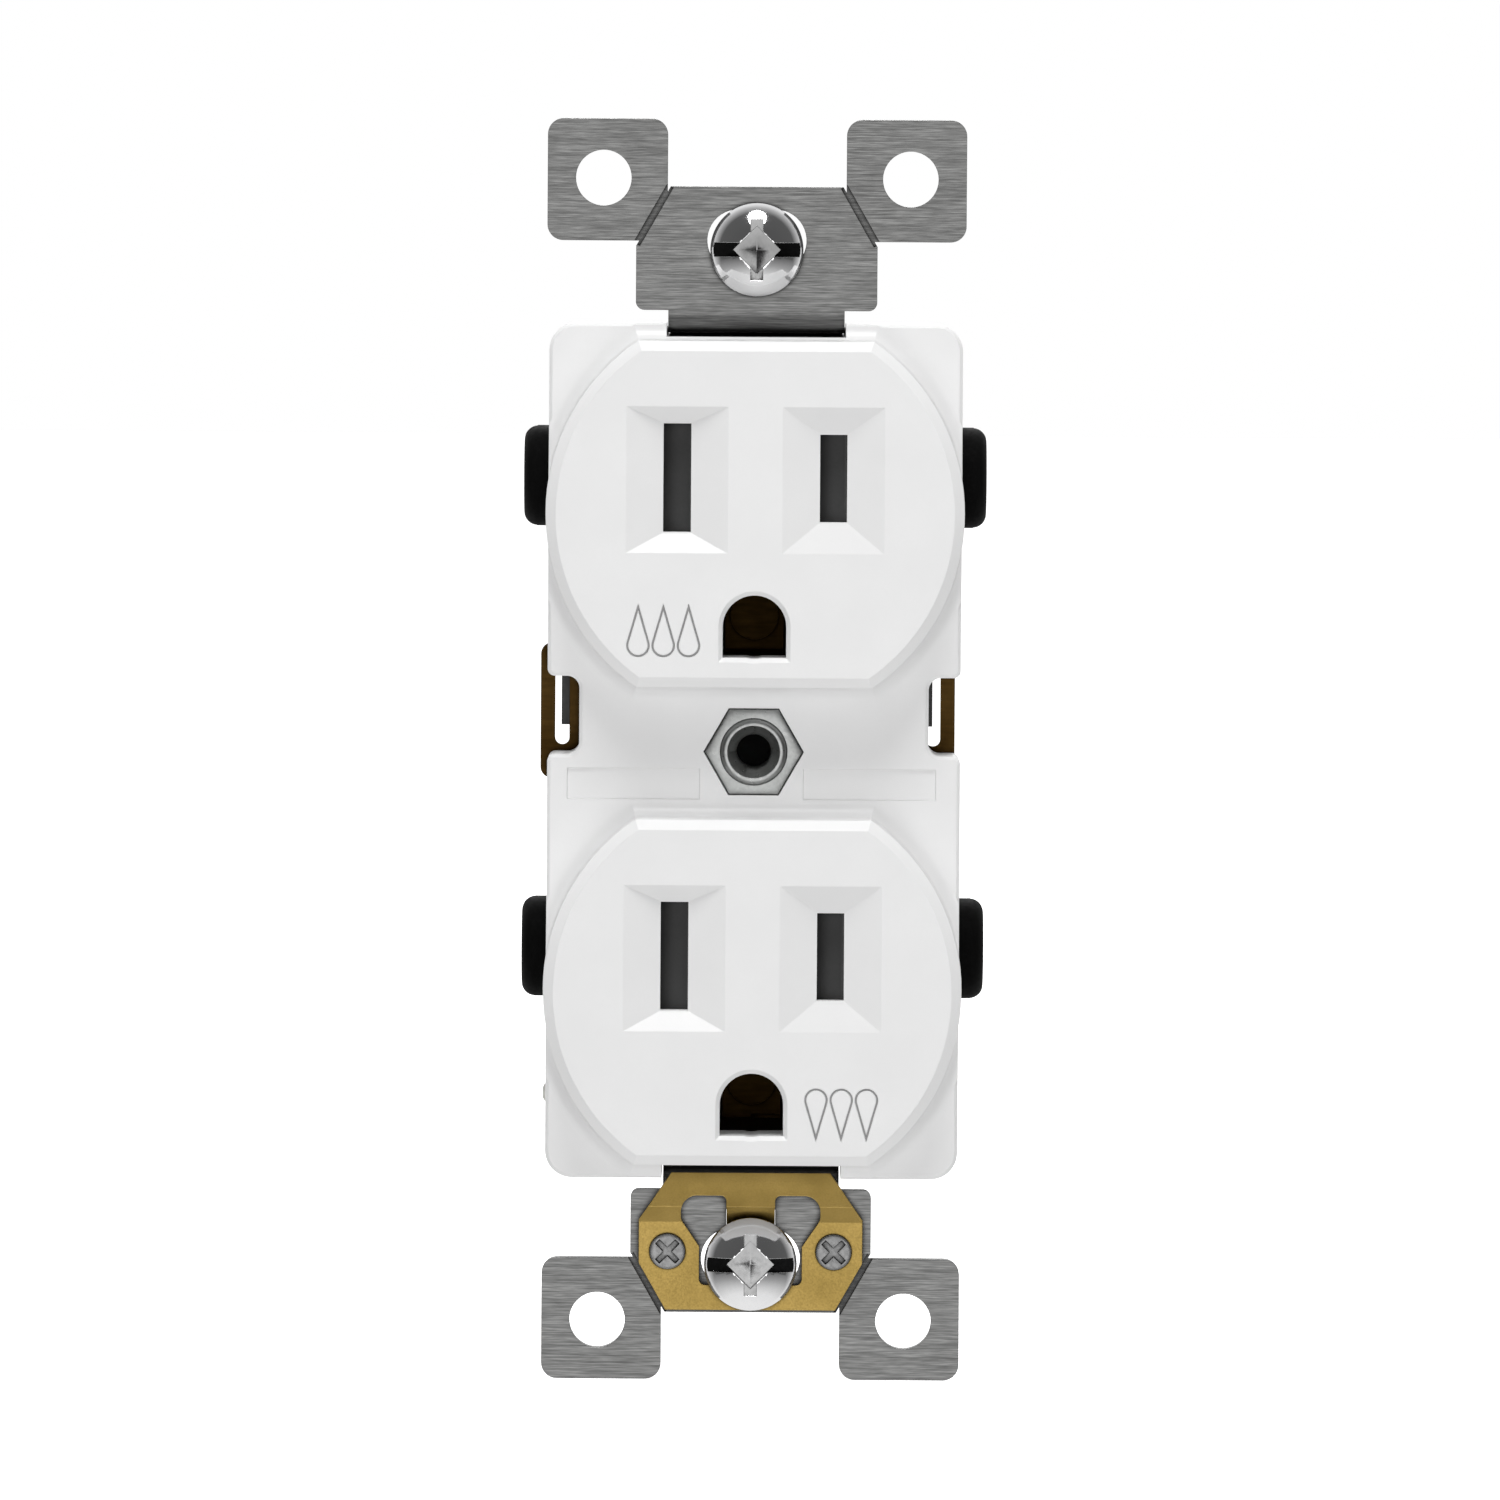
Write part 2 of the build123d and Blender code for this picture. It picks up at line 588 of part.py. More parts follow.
with BuildPart() as assembly_screws:
    for side in (1, -1):
        for z in ASSEMBLY_Z:
            with BuildSketch(level(z)):
                with BuildLine():
                    axis_x = side * ASSEMBLY_X
                    rim_x = axis_x + 2.4
                    Polyline(
                        (axis_x, -1.6),
                        (axis_x + 0.5, -1.2),
                        (axis_x + ASSEMBLY_R, 0.6),
                        (axis_x + ASSEMBLY_R, 21.25),
                        (rim_x, 21.25),
                        (rim_x, 22.2),
                    )
                    ThreePointArc((rim_x, 22.2), (axis_x + 1.9, 22.7), (axis_x + 1.1, 22.85))
                    Polyline((axis_x + 1.1, 22.85), (axis_x, 22.85), (axis_x, -1.6))
                make_face()
            revolve(axis=Axis((axis_x, 0, z), (0, 1, 0)))
    with BuildSketch(layer(23)):
        for side in (1, -1):
            with Locations(*[(side * ASSEMBLY_X, z) for z in ASSEMBLY_Z]):
                Rectangle(2.8, 0.7)
                Rectangle(0.7, 2.8)
    extrude(amount=1.0, mode=Mode.SUBTRACT)
assembly_screws.part.label = "assembly_screws"
export_step(assembly_screws.part, "parts/assembly_screws.step")

# ---------------------------------------------------------------- current-carrying brass


def bent_section(points, radius, z):
    """Section of a sheet bent along a line of points, in the level plane at z."""
    with BuildSketch(level(z)) as section:
        with BuildLine():
            FilletPolyline(*points, radius=radius)
        trace(line_width=SHEET)
    return section.sketch


def contact_bus(side):
    """Rail, break-off fin, two blade contacts and two terminal plates, all bent from one sheet."""
    fin_out = FIN_OUT_X[side]
    with BuildPart() as bus:
        with BuildSketch(layer(RAIL_Y[1])):
            rail = (side * RAIL_X[0], side * RAIL_X[1])
            span(rail, (TERMINAL_Z[1] - TERMINAL_HALF, FIN_Z[0] + 1))
            span(rail, (FIN_Z[1] - 1, TERMINAL_Z[0] + TERMINAL_HALF))
            for z in TERMINAL_Z:
                span((side * 9.4, side * TERMINAL_PLATE_X[1]), (z - TERMINAL_HALF, z + TERMINAL_HALF))
            span((side * RAIL_X[0], side * fin_out), FIN_Z, radius=0.9)
            span((side * 8, side * 12.9), (-0.5, 6.5), mode=Mode.SUBTRACT)
            fin_slot = (side * (fin_out - 2 * FIN_BAR), side * (fin_out - FIN_BAR))
            span(fin_slot, FIN_SLOT_Z, radius=FIN_BAR / 2 - 0.01, mode=Mode.SUBTRACT)
        extrude(amount=SHEET)
        for z in FACE_Z:
            leaves = (
                (10.4, 4.4),
                (8.0, 4.4),
                (7.45, 7.4),
                (8.0, 10.5),
                (8.0, 13.0),
                (4.7, 13.0),
                (4.7, 10.5),
                (5.25, 7.4),
                (4.5, 4.5),
            )
            extrude(bent_section([(side * x, y) for x, y in leaves], 0.6, z + BLADE_Z - 3.8), amount=7.6)
        with BuildSketch(upright(side * TERMINAL_PLATE_X[0])):
            for z in TERMINAL_Z:
                span((RAIL_Y[0], 15.2), (z - TERMINAL_HALF, z + TERMINAL_HALF))
            with Locations(*[(TERMINAL_Y, z) for z in TERMINAL_Z]):
                Circle(SCREW_R + 0.06, mode=Mode.SUBTRACT)
        extrude(amount=side * (TERMINAL_PLATE_X[1] - TERMINAL_PLATE_X[0]))
    return bus


hot_contact_bus = contact_bus(1)
hot_contact_bus.part.label = "hot_contact_bus"
export_step(hot_contact_bus.part, "parts/hot_contact_bus.step")

neutral_contact_bus = contact_bus(-1)
neutral_contact_bus.part.label = "neutral_contact_bus"
export_step(neutral_contact_bus.part, "parts/neutral_contact_bus.step")

BUS_T = 0.7
FOOT_Y = BODY_REAR_Y - BUS_T - SHEET / 2
CUP = ((-3.2, 4.4), (-2.78, 7.5), (-3.3, 11.5), (-3.3, FOOT_Y), (3.3, FOOT_Y), (3.3, 11.5), (2.78, 7.5), (3.2, 4.4))

with BuildPart() as ground_bus:
    with BuildSketch(layer(BODY_REAR_Y)):
        span((-3.2, 3.2), (-32, 25), radius=0.6)
        with Locations(*[(0, z) for z in REAR_RIVET_Z]):
            Circle(1.5, mode=Mode.SUBTRACT)
        with Locations(*[(0, z + GROUND_Z) for z in FACE_Z]):
            Circle(1.2, mode=Mode.SUBTRACT)
    extrude(amount=BUS_T)
ground_bus.part.label = "ground_bus"
export_step(ground_bus.part, "parts/ground_bus.step")

with BuildPart() as ground_contact_upper:
    extrude(bent_section(CUP, 0.7, FACE_Z[0] + GROUND_Z - 2.8), amount=5.6)
    with BuildSketch(layer(BODY_REAR_Y)):
        with Locations((0, FACE_Z[0] + GROUND_Z)):
            Circle(1.2)
    extrude(amount=3, mode=Mode.SUBTRACT)
ground_contact_upper.part.label = "ground_contact_upper"
export_step(ground_contact_upper.part, "parts/ground_contact_upper.step")

with BuildPart() as ground_contact_lower:
    extrude(bent_section(CUP, 0.7, GROUND_TERMINAL_Z - 2.8), amount=5.6)
    plate_x = -(GROUND_PLATE_X[0] + GROUND_PLATE_X[1]) / 2
    limb = ((0, FOOT_Y), (plate_x, FOOT_Y), (plate_x, 5.8))
    extrude(bent_section(limb, 0.7, GROUND_TERMINAL_Z - 4.4), amount=8.8)
    with BuildSketch(layer(BODY_REAR_Y)):
        with Locations((0, GROUND_TERMINAL_Z)):
            Circle(1.2)
    extrude(amount=3, mode=Mode.SUBTRACT)
    with BuildSketch(upright(-9)):
        with Locations((TERMINAL_Y, GROUND_TERMINAL_Z)):
            Circle(SCREW_R + 0.06)
    extrude(amount=-3, mode=Mode.SUBTRACT)
ground_contact_lower.part.label = "ground_contact_lower"
export_step(ground_contact_lower.part, "parts/ground_contact_lower.step")

with BuildPart() as ground_contact_rivets:
    for z in FACE_Z:
        with BuildSketch(layer(BODY_REAR_Y)):
            with Locations((0, z + GROUND_Z)):
                Circle(1.17)
        extrude(amount=BUS_T + SHEET)
        with BuildSketch(layer(BODY_REAR_Y - BUS_T - SHEET)):
            with Locations((0, z + GROUND_Z)):
                Circle(2.0)
        extrude(amount=0.5)
ground_contact_rivets.part.label = "ground_contact_rivets"
export_step(ground_contact_rivets.part, "parts/ground_contact_rivets.step")

# ---------------------------------------------------------------- terminals


def wire_clamp(side, inner_x, z, lug_x=0.0):
    """Pressure plate with a serrated inner face and a recess for the screw's staked collar."""
    with BuildPart() as clamp:
        with BuildSketch(upright(side * inner_x)):
            with Locations((TERMINAL_Y, z)):
                RectangleRounded(2 * CLAMP_HALF_Y, 2 * CLAMP_HALF_Z, 0.6)
                Circle(SCREW_R + 0.09, mode=Mode.SUBTRACT)
        extrude(amount=side * CLAMP_T)
        with BuildSketch(upright(side * inner_x)):
            with Locations(*[(TERMINAL_Y + step * 1.45, z) for step in (-2.5, -1.5, -0.5, 0.5, 1.5, 2.5)]):
                Rectangle(0.5, 10)
        extrude(amount=side * 0.25, mode=Mode.SUBTRACT)
        with BuildSketch(upright(side * inner_x)):
            with Locations((TERMINAL_Y, z)):
                Circle(2.65)
        extrude(amount=side * 0.45, mode=Mode.SUBTRACT)
        if lug_x:
            with BuildSketch(upright(side * inner_x)):
                span((TERMINAL_Y - CLAMP_HALF_Y - 0.35, TERMINAL_Y - CLAMP_HALF_Y + 0.3), (z - 0.8, z + 0.8))
            extrude(amount=side * (lug_x - inner_x))
            fillet(clamp.faces().sort_by(Axis.X)[0 if side < 0 else -1].edges().filter_by(Axis.Y), 0.5)
    return clamp


def shank_profile(side, tip_x, clamp_x, seat_x, z):
    """Half section of a terminal screw's shank and staked collar, up to the underside of its head."""
    profile = (
        (tip_x, 0),
        (tip_x, SCREW_R - 0.5),
        (tip_x + 0.5, SCREW_R),
        (clamp_x + 0.06, SCREW_R),
        (clamp_x + 0.06, 2.45),
        (clamp_x + 0.36, 2.45),
        (clamp_x + 0.36, SCREW_R),
        (seat_x, SCREW_R),
        (seat_x, 0),
    )
    with BuildSketch(level(z)) as section:
        with BuildLine():
            Polyline(*[(side * x, TERMINAL_Y + r) for x, r in profile], close=True)
        make_face()
    return section.sketch


def terminal_screw(side, z):
    """Binding-head screw with a combination slot, captive in its clamp."""
    clamp_x = TERMINAL_PLATE_X[1] + WIRE_GAP
    seat_x = clamp_x + CLAMP_T + 0.02
    with BuildPart() as screw:
        screw_axis = Axis((0, TERMINAL_Y, z), (1, 0, 0))
        shank = shank_profile(side, TERMINAL_PLATE_X[0] - 0.2, clamp_x, seat_x, z)
        revolve(shank, axis=screw_axis)
        with BuildSketch(level(z)):
            with BuildLine():
                FilletPolyline(
                    (side * seat_x, TERMINAL_Y),
                    (side * seat_x, TERMINAL_Y + HEAD_R),
                    (side * HEAD_OUT_X, TERMINAL_Y + HEAD_R),
                    (side * HEAD_OUT_X, TERMINAL_Y),
                    radius=(0, 0.15, 1.1, 0),
                    close=True,
                )
            make_face()
        revolve(axis=screw_axis)
        with BuildSketch(upright(side * HEAD_OUT_X)):
            with Locations((TERMINAL_Y, z)):
                Rectangle(1.3, 10)
                Rectangle(5.0, 1.3)
        extrude(amount=-side * 1.1, mode=Mode.SUBTRACT)
    return screw


hot_upper_clamp = wire_clamp(1, TERMINAL_PLATE_X[1] + WIRE_GAP, TERMINAL_Z[0])
hot_upper_clamp.part.label = "hot_upper_clamp"
export_step(hot_upper_clamp.part, "parts/hot_upper_clamp.step")

hot_lower_clamp = wire_clamp(1, TERMINAL_PLATE_X[1] + WIRE_GAP, TERMINAL_Z[1])
hot_lower_clamp.part.label = "hot_lower_clamp"
export_step(hot_lower_clamp.part, "parts/hot_lower_clamp.step")

neutral_upper_clamp = wire_clamp(-1, TERMINAL_PLATE_X[1] + WIRE_GAP, TERMINAL_Z[0])
neutral_upper_clamp.part.label = "neutral_upper_clamp"
export_step(neutral_upper_clamp.part, "parts/neutral_upper_clamp.step")

neutral_lower_clamp = wire_clamp(-1, TERMINAL_PLATE_X[1] + WIRE_GAP, TERMINAL_Z[1])
neutral_lower_clamp.part.label = "neutral_lower_clamp"
export_step(neutral_lower_clamp.part, "parts/neutral_lower_clamp.step")

hot_upper_screw = terminal_screw(1, TERMINAL_Z[0])
hot_upper_screw.part.label = "hot_upper_screw"
export_step(hot_upper_screw.part, "parts/hot_upper_screw.step")

hot_lower_screw = terminal_screw(1, TERMINAL_Z[1])
hot_lower_screw.part.label = "hot_lower_screw"
export_step(hot_lower_screw.part, "parts/hot_lower_screw.step")

neutral_upper_screw = terminal_screw(-1, TERMINAL_Z[0])
neutral_upper_screw.part.label = "neutral_upper_screw"
export_step(neutral_upper_screw.part, "parts/neutral_upper_screw.step")

neutral_lower_screw = terminal_screw(-1, TERMINAL_Z[1])
neutral_lower_screw.part.label = "neutral_lower_screw"
export_step(neutral_lower_screw.part, "parts/neutral_lower_screw.step")

GROUND_CLAMP_X = GROUND_PLATE_X[1] + GROUND_GAP
GROUND_SEAT_X = GROUND_CLAMP_X + CLAMP_T + 0.02

ground_terminal_clamp = wire_clamp(-1, GROUND_CLAMP_X, GROUND_TERMINAL_Z, lug_x=17.2)
ground_terminal_clamp.part.label = "ground_terminal_clamp"
export_step(ground_terminal_clamp.part, "parts/ground_terminal_clamp.step")

with BuildPart() as ground_terminal_screw:
    shank = shank_profile(-1, GROUND_PLATE_X[0] - 0.2, GROUND_CLAMP_X, GROUND_SEAT_X, GROUND_TERMINAL_Z)
    revolve(shank, axis=Axis((0, TERMINAL_Y, GROUND_TERMINAL_Z), (1, 0, 0)))
    with BuildSketch(upright(-GROUND_SEAT_X)):
        with Locations((TERMINAL_Y, GROUND_TERMINAL_Z)):
            Circle(3.85)
    extrude(amount=-0.5)
    with BuildSketch(upright(-GROUND_SEAT_X - 0.5)):
        with Locations((TERMINAL_Y, GROUND_TERMINAL_Z)):
            RegularPolygon(3.175, 6, major_radius=False)
    extrude(amount=-1.75)
    chamfer(ground_terminal_screw.faces().sort_by(Axis.X)[0].edges(), 0.25)
    with BuildSketch(upright(-GROUND_SEAT_X - 2.25)):
        with Locations((TERMINAL_Y, GROUND_TERMINAL_Z)):
            Rectangle(1.2, 10)
    extrude(amount=1.0, mode=Mode.SUBTRACT)
ground_terminal_screw.part.label = "ground_terminal_screw"
export_step(ground_terminal_screw.part, "parts/ground_terminal_screw.step")

# ---------------------------------------------------------------- shutters


def shutter(z):
    """Sliding gate: solid in front of both slots at rest, clear of both when it has moved towards +X."""
    rear = SHUTTER_FRONT_Y + SHUTTER_T
    window = (BLADE_X - SHUTTER_TRAVEL - 1.5, BLADE_X - SHUTTER_TRAVEL + 1.5)
    left = -BLADE_X - 1.4
    with BuildPart() as gate:
        with BuildSketch(layer(rear)):
            span((left, 8.3), (z - 2.2, z + 8.2), radius=1.5)
            span(window, (z - 1.8, z + 7.8), radius=0.3, mode=Mode.SUBTRACT)
            span((1.0, SPRING_X[0]), (z + 8.0, z + 10.4))
        extrude(amount=SHUTTER_T)
        # Ramps that the two blades push on
        with BuildSketch(level(z - 3)):
            for foot_x in (left, window[1]):
                with BuildLine():
                    Polyline(
                        (foot_x - 0.3, SHUTTER_FRONT_Y - 0.2),
                        (foot_x - 0.3, rear - 0.35),
                        (foot_x + 2.9, SHUTTER_FRONT_Y - 0.2),
                        close=True,
                    )
                make_face()
        extrude(amount=11, mode=Mode.SUBTRACT)
    return gate


def shutter_spring(z):
    """Coil spring between the shutter's lug and the retainer's post."""
    with BuildPart() as spring:
        with BuildLine() as coil:
            length = SPRING_X[1] - SPRING_X[0] - 2 * WIRE_R - 0.04
            start = (SPRING_X[0] + WIRE_R + 0.02, SPRING_Y, z + SPRING_Z)
            Helix(length / 9, length, SPRING_R, center=start, direction=(1, 0, 0))
        with BuildSketch(Plane(origin=coil.line @ 0, z_dir=coil.line % 0)):
            Circle(WIRE_R)
        sweep(is_frenet=True)
    return spring


def shutter_retainer(z):
    """Plate that closes the shutter's chamber, with a window behind each slot and the spring's post."""
    with BuildPart() as retainer:
        with BuildSketch(layer(RETAINER_Y[1])):
            span((-12.4, 12.4), (z - 3.5, z + 11.7), radius=3.9)
            for side in (1, -1):
                with Locations((side * BLADE_X, z + BLADE_Z)):
                    Rectangle(2.8, 9.4, mode=Mode.SUBTRACT)
        extrude(amount=RETAINER_Y[1] - RETAINER_Y[0])
        with BuildSketch(layer(RETAINER_Y[0])):
            span((SPRING_X[1], SPRING_X[1] + 0.8), (z + 8.7, z + 10.1))
        extrude(amount=1.6)
    return retainer


shutter_upper = shutter(FACE_Z[0])
shutter_upper.part.label = "shutter_upper"
export_step(shutter_upper.part, "parts/shutter_upper.step")

shutter_lower = shutter(FACE_Z[1])
shutter_lower.part.label = "shutter_lower"
export_step(shutter_lower.part, "parts/shutter_lower.step")

shutter_spring_upper = shutter_spring(FACE_Z[0])
shutter_spring_upper.part.label = "shutter_spring_upper"
export_step(shutter_spring_upper.part, "parts/shutter_spring_upper.step")

shutter_spring_lower = shutter_spring(FACE_Z[1])
shutter_spring_lower.part.label = "shutter_spring_lower"
export_step(shutter_spring_lower.part, "parts/shutter_spring_lower.step")

shutter_retainer_upper = shutter_retainer(FACE_Z[0])
shutter_retainer_upper.part.label = "shutter_retainer_upper"
export_step(shutter_retainer_upper.part, "parts/shutter_retainer_upper.step")

shutter_retainer_lower = shutter_retainer(FACE_Z[1])
shutter_retainer_lower.part.label = "shutter_retainer_lower"
export_step(shutter_retainer_lower.part, "parts/shutter_retainer_lower.step")

# ---------------------------------------------------------------- mounting screws


def mounting_screw(z, seat_y):
    """Domed-head screw with a slot across a diamond drive recess; seat_y is its head's underside."""
    apex = seat_y - 2.25
    rim = seat_y - 0.45
    dome_r = (MOUNT_HEAD_R**2 + (rim - apex) ** 2) / (2 * (rim - apex))
    half_x = MOUNT_HEAD_R / 2
    half_y = apex + dome_r - (dome_r**2 - half_x**2) ** 0.5
    with BuildPart() as screw:
        with BuildSketch(level(z)):
            with BuildLine():
                ThreePointArc((0, apex), (half_x, half_y), (MOUNT_HEAD_R, rim))
                Polyline(
                    (MOUNT_HEAD_R, rim),
                    (MOUNT_HEAD_R - 0.1, seat_y),
                    (MOUNT_NECK_R, seat_y),
                    (MOUNT_NECK_R, MOUNT_NECK_END_Y),
                    (MOUNT_SCREW_R, MOUNT_NECK_END_Y + 0.1),
                    (MOUNT_SCREW_R, 11.0),
                    (MOUNT_SCREW_R - 0.5, 11.6),
                    (0, 11.6),
                    (0, apex),
                )
            make_face()
        revolve(axis=Axis((0, 0, z), (0, 1, 0)))
        with BuildSketch(layer(apex + 1.1)):
            with Locations((0, z)):
                Rectangle(9, 1.0)
                Rectangle(1.1, 4.8)
        extrude(amount=2, mode=Mode.SUBTRACT)
        with BuildSketch(Plane((0, apex, z), x_dir=(1, 0, 0), z_dir=(0, 1, 0))):
            with BuildLine():
                Polyline((-2.0, 0), (0, 1.75), (2.0, 0), (0, -1.75), close=True)
            make_face()
        extrude(amount=1.6, taper=35, mode=Mode.SUBTRACT)
    return screw


def retaining_washer(z):
    """Soft washer round a mounting screw's neck; the thread behind it is wider, so the screw can't fall out."""
    with BuildPart() as washer:
        with BuildSketch(layer(0.95)):
            with Locations((0, z)):
                Circle(WASHER_R)
                Circle(MOUNT_NECK_R + 0.05, mode=Mode.SUBTRACT)
        extrude(amount=0.9)
    return washer


mounting_screw_top = mounting_screw(MOUNT_SCREW_Z[0], -STRAP_T - 0.05)
mounting_screw_top.part.label = "mounting_screw_top"
export_step(mounting_screw_top.part, "parts/mounting_screw_top.step")

mounting_screw_bottom = mounting_screw(MOUNT_SCREW_Z[1], CLIP_Y - 0.05)
mounting_screw_bottom.part.label = "mounting_screw_bottom"
export_step(mounting_screw_bottom.part, "parts/mounting_screw_bottom.step")

retaining_washer_top = retaining_washer(MOUNT_SCREW_Z[0])
retaining_washer_top.part.label = "retaining_washer_top"
export_step(retaining_washer_top.part, "parts/retaining_washer_top.step")

retaining_washer_bottom = retaining_washer(MOUNT_SCREW_Z[1])
retaining_washer_bottom.part.label = "retaining_washer_bottom"
export_step(retaining_washer_bottom.part, "parts/retaining_washer_bottom.step")
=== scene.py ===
"""Looks of the duplex wall outlet: materials, detailed screws, springs, grey lines in engraved drops, light
and camera.

The frame is in metres: X across the width, -Y out of the face, Z up.
"""

import json
import math

import bmesh
import bpy
from mathutils import Matrix, Vector


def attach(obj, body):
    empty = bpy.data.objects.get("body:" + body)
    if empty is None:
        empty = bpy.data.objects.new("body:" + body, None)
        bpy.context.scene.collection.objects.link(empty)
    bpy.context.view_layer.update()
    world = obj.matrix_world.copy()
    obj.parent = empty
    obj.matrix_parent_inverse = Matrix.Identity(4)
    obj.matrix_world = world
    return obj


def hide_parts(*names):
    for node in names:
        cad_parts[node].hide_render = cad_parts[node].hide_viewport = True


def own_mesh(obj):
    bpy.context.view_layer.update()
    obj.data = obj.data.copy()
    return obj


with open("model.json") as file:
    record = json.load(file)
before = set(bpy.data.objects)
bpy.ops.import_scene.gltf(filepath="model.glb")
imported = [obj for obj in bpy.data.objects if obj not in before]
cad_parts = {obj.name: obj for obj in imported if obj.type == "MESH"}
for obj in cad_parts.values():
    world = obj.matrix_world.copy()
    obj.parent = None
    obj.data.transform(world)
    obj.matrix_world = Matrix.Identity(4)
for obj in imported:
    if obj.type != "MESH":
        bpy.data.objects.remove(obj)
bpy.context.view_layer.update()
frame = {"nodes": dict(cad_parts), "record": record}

MM = 0.001
INCH = 25.4
FACE_Y = -8.2
FACE_Z = (19.45, -19.45)
MOUNT_PITCH = INCH / 32
TERMINAL_Y = 10.5


# ---------------------------------------------------------------- shader helpers

NOISE_ROUGHNESS = 0.55
EDGE_FACING = (0.85, 0.995)
PATCH_SCALE = 900
# Painted shade: reach in millimetres and openness limits of the ambient-occlusion mask that darkens grooves
# and crevices.
SHADE_REACH = 0.8
SHADE_OPENNESS = (0.45, 0.80)


def add_node(tree, kind, inputs=None, **settings):
    """New shader node; a socket given as an input is linked, anything else is its value."""
    node = tree.nodes.new(kind)
    for key, value in settings.items():
        setattr(node, key, value)
    for key, value in (inputs or {}).items():
        if isinstance(value, bpy.types.NodeSocket):
            tree.links.new(value, node.inputs[key])
        else:
            node.inputs[key].default_value = value
    return node


def noise(tree, scale, detail):
    """Noise in the object's own coordinates. scale is cycles per metre, one number or one per axis."""
    stretch = scale if isinstance(scale, tuple) else (scale, scale, scale)
    place = add_node(tree, "ShaderNodeTexCoord").outputs["Object"]
    mapped = add_node(tree, "ShaderNodeMapping", {"Vector": place, "Scale": stretch})
    texture = add_node(
        tree,
        "ShaderNodeTexNoise",
        {"Vector": mapped.outputs["Vector"], "Scale": 1.0, "Detail": detail, "Roughness": NOISE_ROUGHNESS},
    )
    return texture.outputs["Fac"]


def remap(tree, value, low, high, start=0.3, end=0.7):
    """Value between start and end taken to low and high, and held beyond them."""
    ranged = add_node(
        tree,
        "ShaderNodeMapRange",
        {"Value": value, "From Min": start, "From Max": end, "To Min": low, "To Max": high},
    )
    return ranged.outputs["Result"]


def blend_colour(tree, factor, first, second):
    """Mix of two colours; each is a socket or an RGB tuple."""
    mix = tree.nodes.new("ShaderNodeMix")
    mix.data_type = "RGBA"
    tree.links.new(factor, mix.inputs[0])
    for socket, value in ((mix.inputs[6], first), (mix.inputs[7], second)):
        if isinstance(value, bpy.types.NodeSocket):
            tree.links.new(value, socket)
        else:
            socket.default_value = (*value, 1.0)
    return mix.outputs[2]


def edge_mask(tree, radius):
    """1 along convex and concave edges within the radius, 0 on flat surface, with the rounded normal."""
    rounded = add_node(tree, "ShaderNodeBevel", {"Radius": radius}, samples=6)
    flat = add_node(tree, "ShaderNodeNewGeometry")
    facing = add_node(tree, "ShaderNodeVectorMath", operation="DOT_PRODUCT")
    tree.links.new(rounded.outputs["Normal"], facing.inputs[0])
    tree.links.new(flat.outputs["Normal"], facing.inputs[1])
    return remap(tree, facing.outputs["Value"], 1.0, 0.0, *EDGE_FACING), rounded.outputs["Normal"]


def finish_material(
    name,
    base,
    worn,
    rough,
    grain,
    bump,
    metallic,
    edge=0.08,
    grain_detail=4.0,
    broad_scale=160,
    groove_shade=1.0,
    **sockets,
):
    """Principled material whose colour, roughness and surface all vary.

    base is the pair of colours that broad mottling runs between, worn the colour of rubbed edges,
    rough the pair of roughness limits, grain the scale of the fine texture and bump its height in metres.
    edge is the width of a rubbed edge in millimetres, and groove_shade the share of its colour that painted
    shade leaves at the bottom of a narrow groove or crevice, found by ambient occlusion.
    """
    material = bpy.data.materials.new(name)
    material.use_nodes = True
    tree = material.node_tree
    shader = tree.nodes["Principled BSDF"]
    shader.inputs["Metallic"].default_value = metallic
    for key, value in sockets.items():
        shader.inputs[key.replace("_", " ")].default_value = value
    broad = noise(tree, broad_scale, 3.0)
    fine = noise(tree, grain, grain_detail)
    mottled = blend_colour(tree, remap(tree, broad, 0.0, 1.0), base[0], base[1])
    speckled = blend_colour(tree, remap(tree, fine, 0.0, 0.35), mottled, base[0])
    mask, normal = edge_mask(tree, edge * MM)
    patches = remap(tree, noise(tree, PATCH_SCALE, 5.0), 0.15, 0.9)
    rubbed = add_node(tree, "ShaderNodeMath", {0: mask, 1: patches}, operation="MULTIPLY")
    colour = blend_colour(tree, rubbed.outputs[0], speckled, worn)
    # Painted shade: where ambient occlusion finds surfaces close by, in grooves, creases and gaps between
    # parts, the colour darkens to a share of the base colour.
    if groove_shade < 1.0:
        open_sky = add_node(tree, "ShaderNodeAmbientOcclusion", {"Distance": SHADE_REACH * MM}, samples=8)
        shaded = remap(tree, open_sky.outputs["AO"], 1.0, 0.0, *SHADE_OPENNESS)
        colour = blend_colour(tree, shaded, colour, tuple(groove_shade * value for value in base[0]))
    tree.links.new(colour, shader.inputs["Base Color"])
    tree.links.new(remap(tree, fine, rough[0], rough[1]), shader.inputs["Roughness"])
    relief = add_node(
        tree, "ShaderNodeBump", {"Height": fine, "Normal": normal, "Distance": bump, "Strength": 1.0}
    )
    tree.links.new(relief.outputs["Normal"], shader.inputs["Normal"])
    return material


# ---------------------------------------------------------------- materials

BRUSH = (800.0, 9000.0, 9000.0)
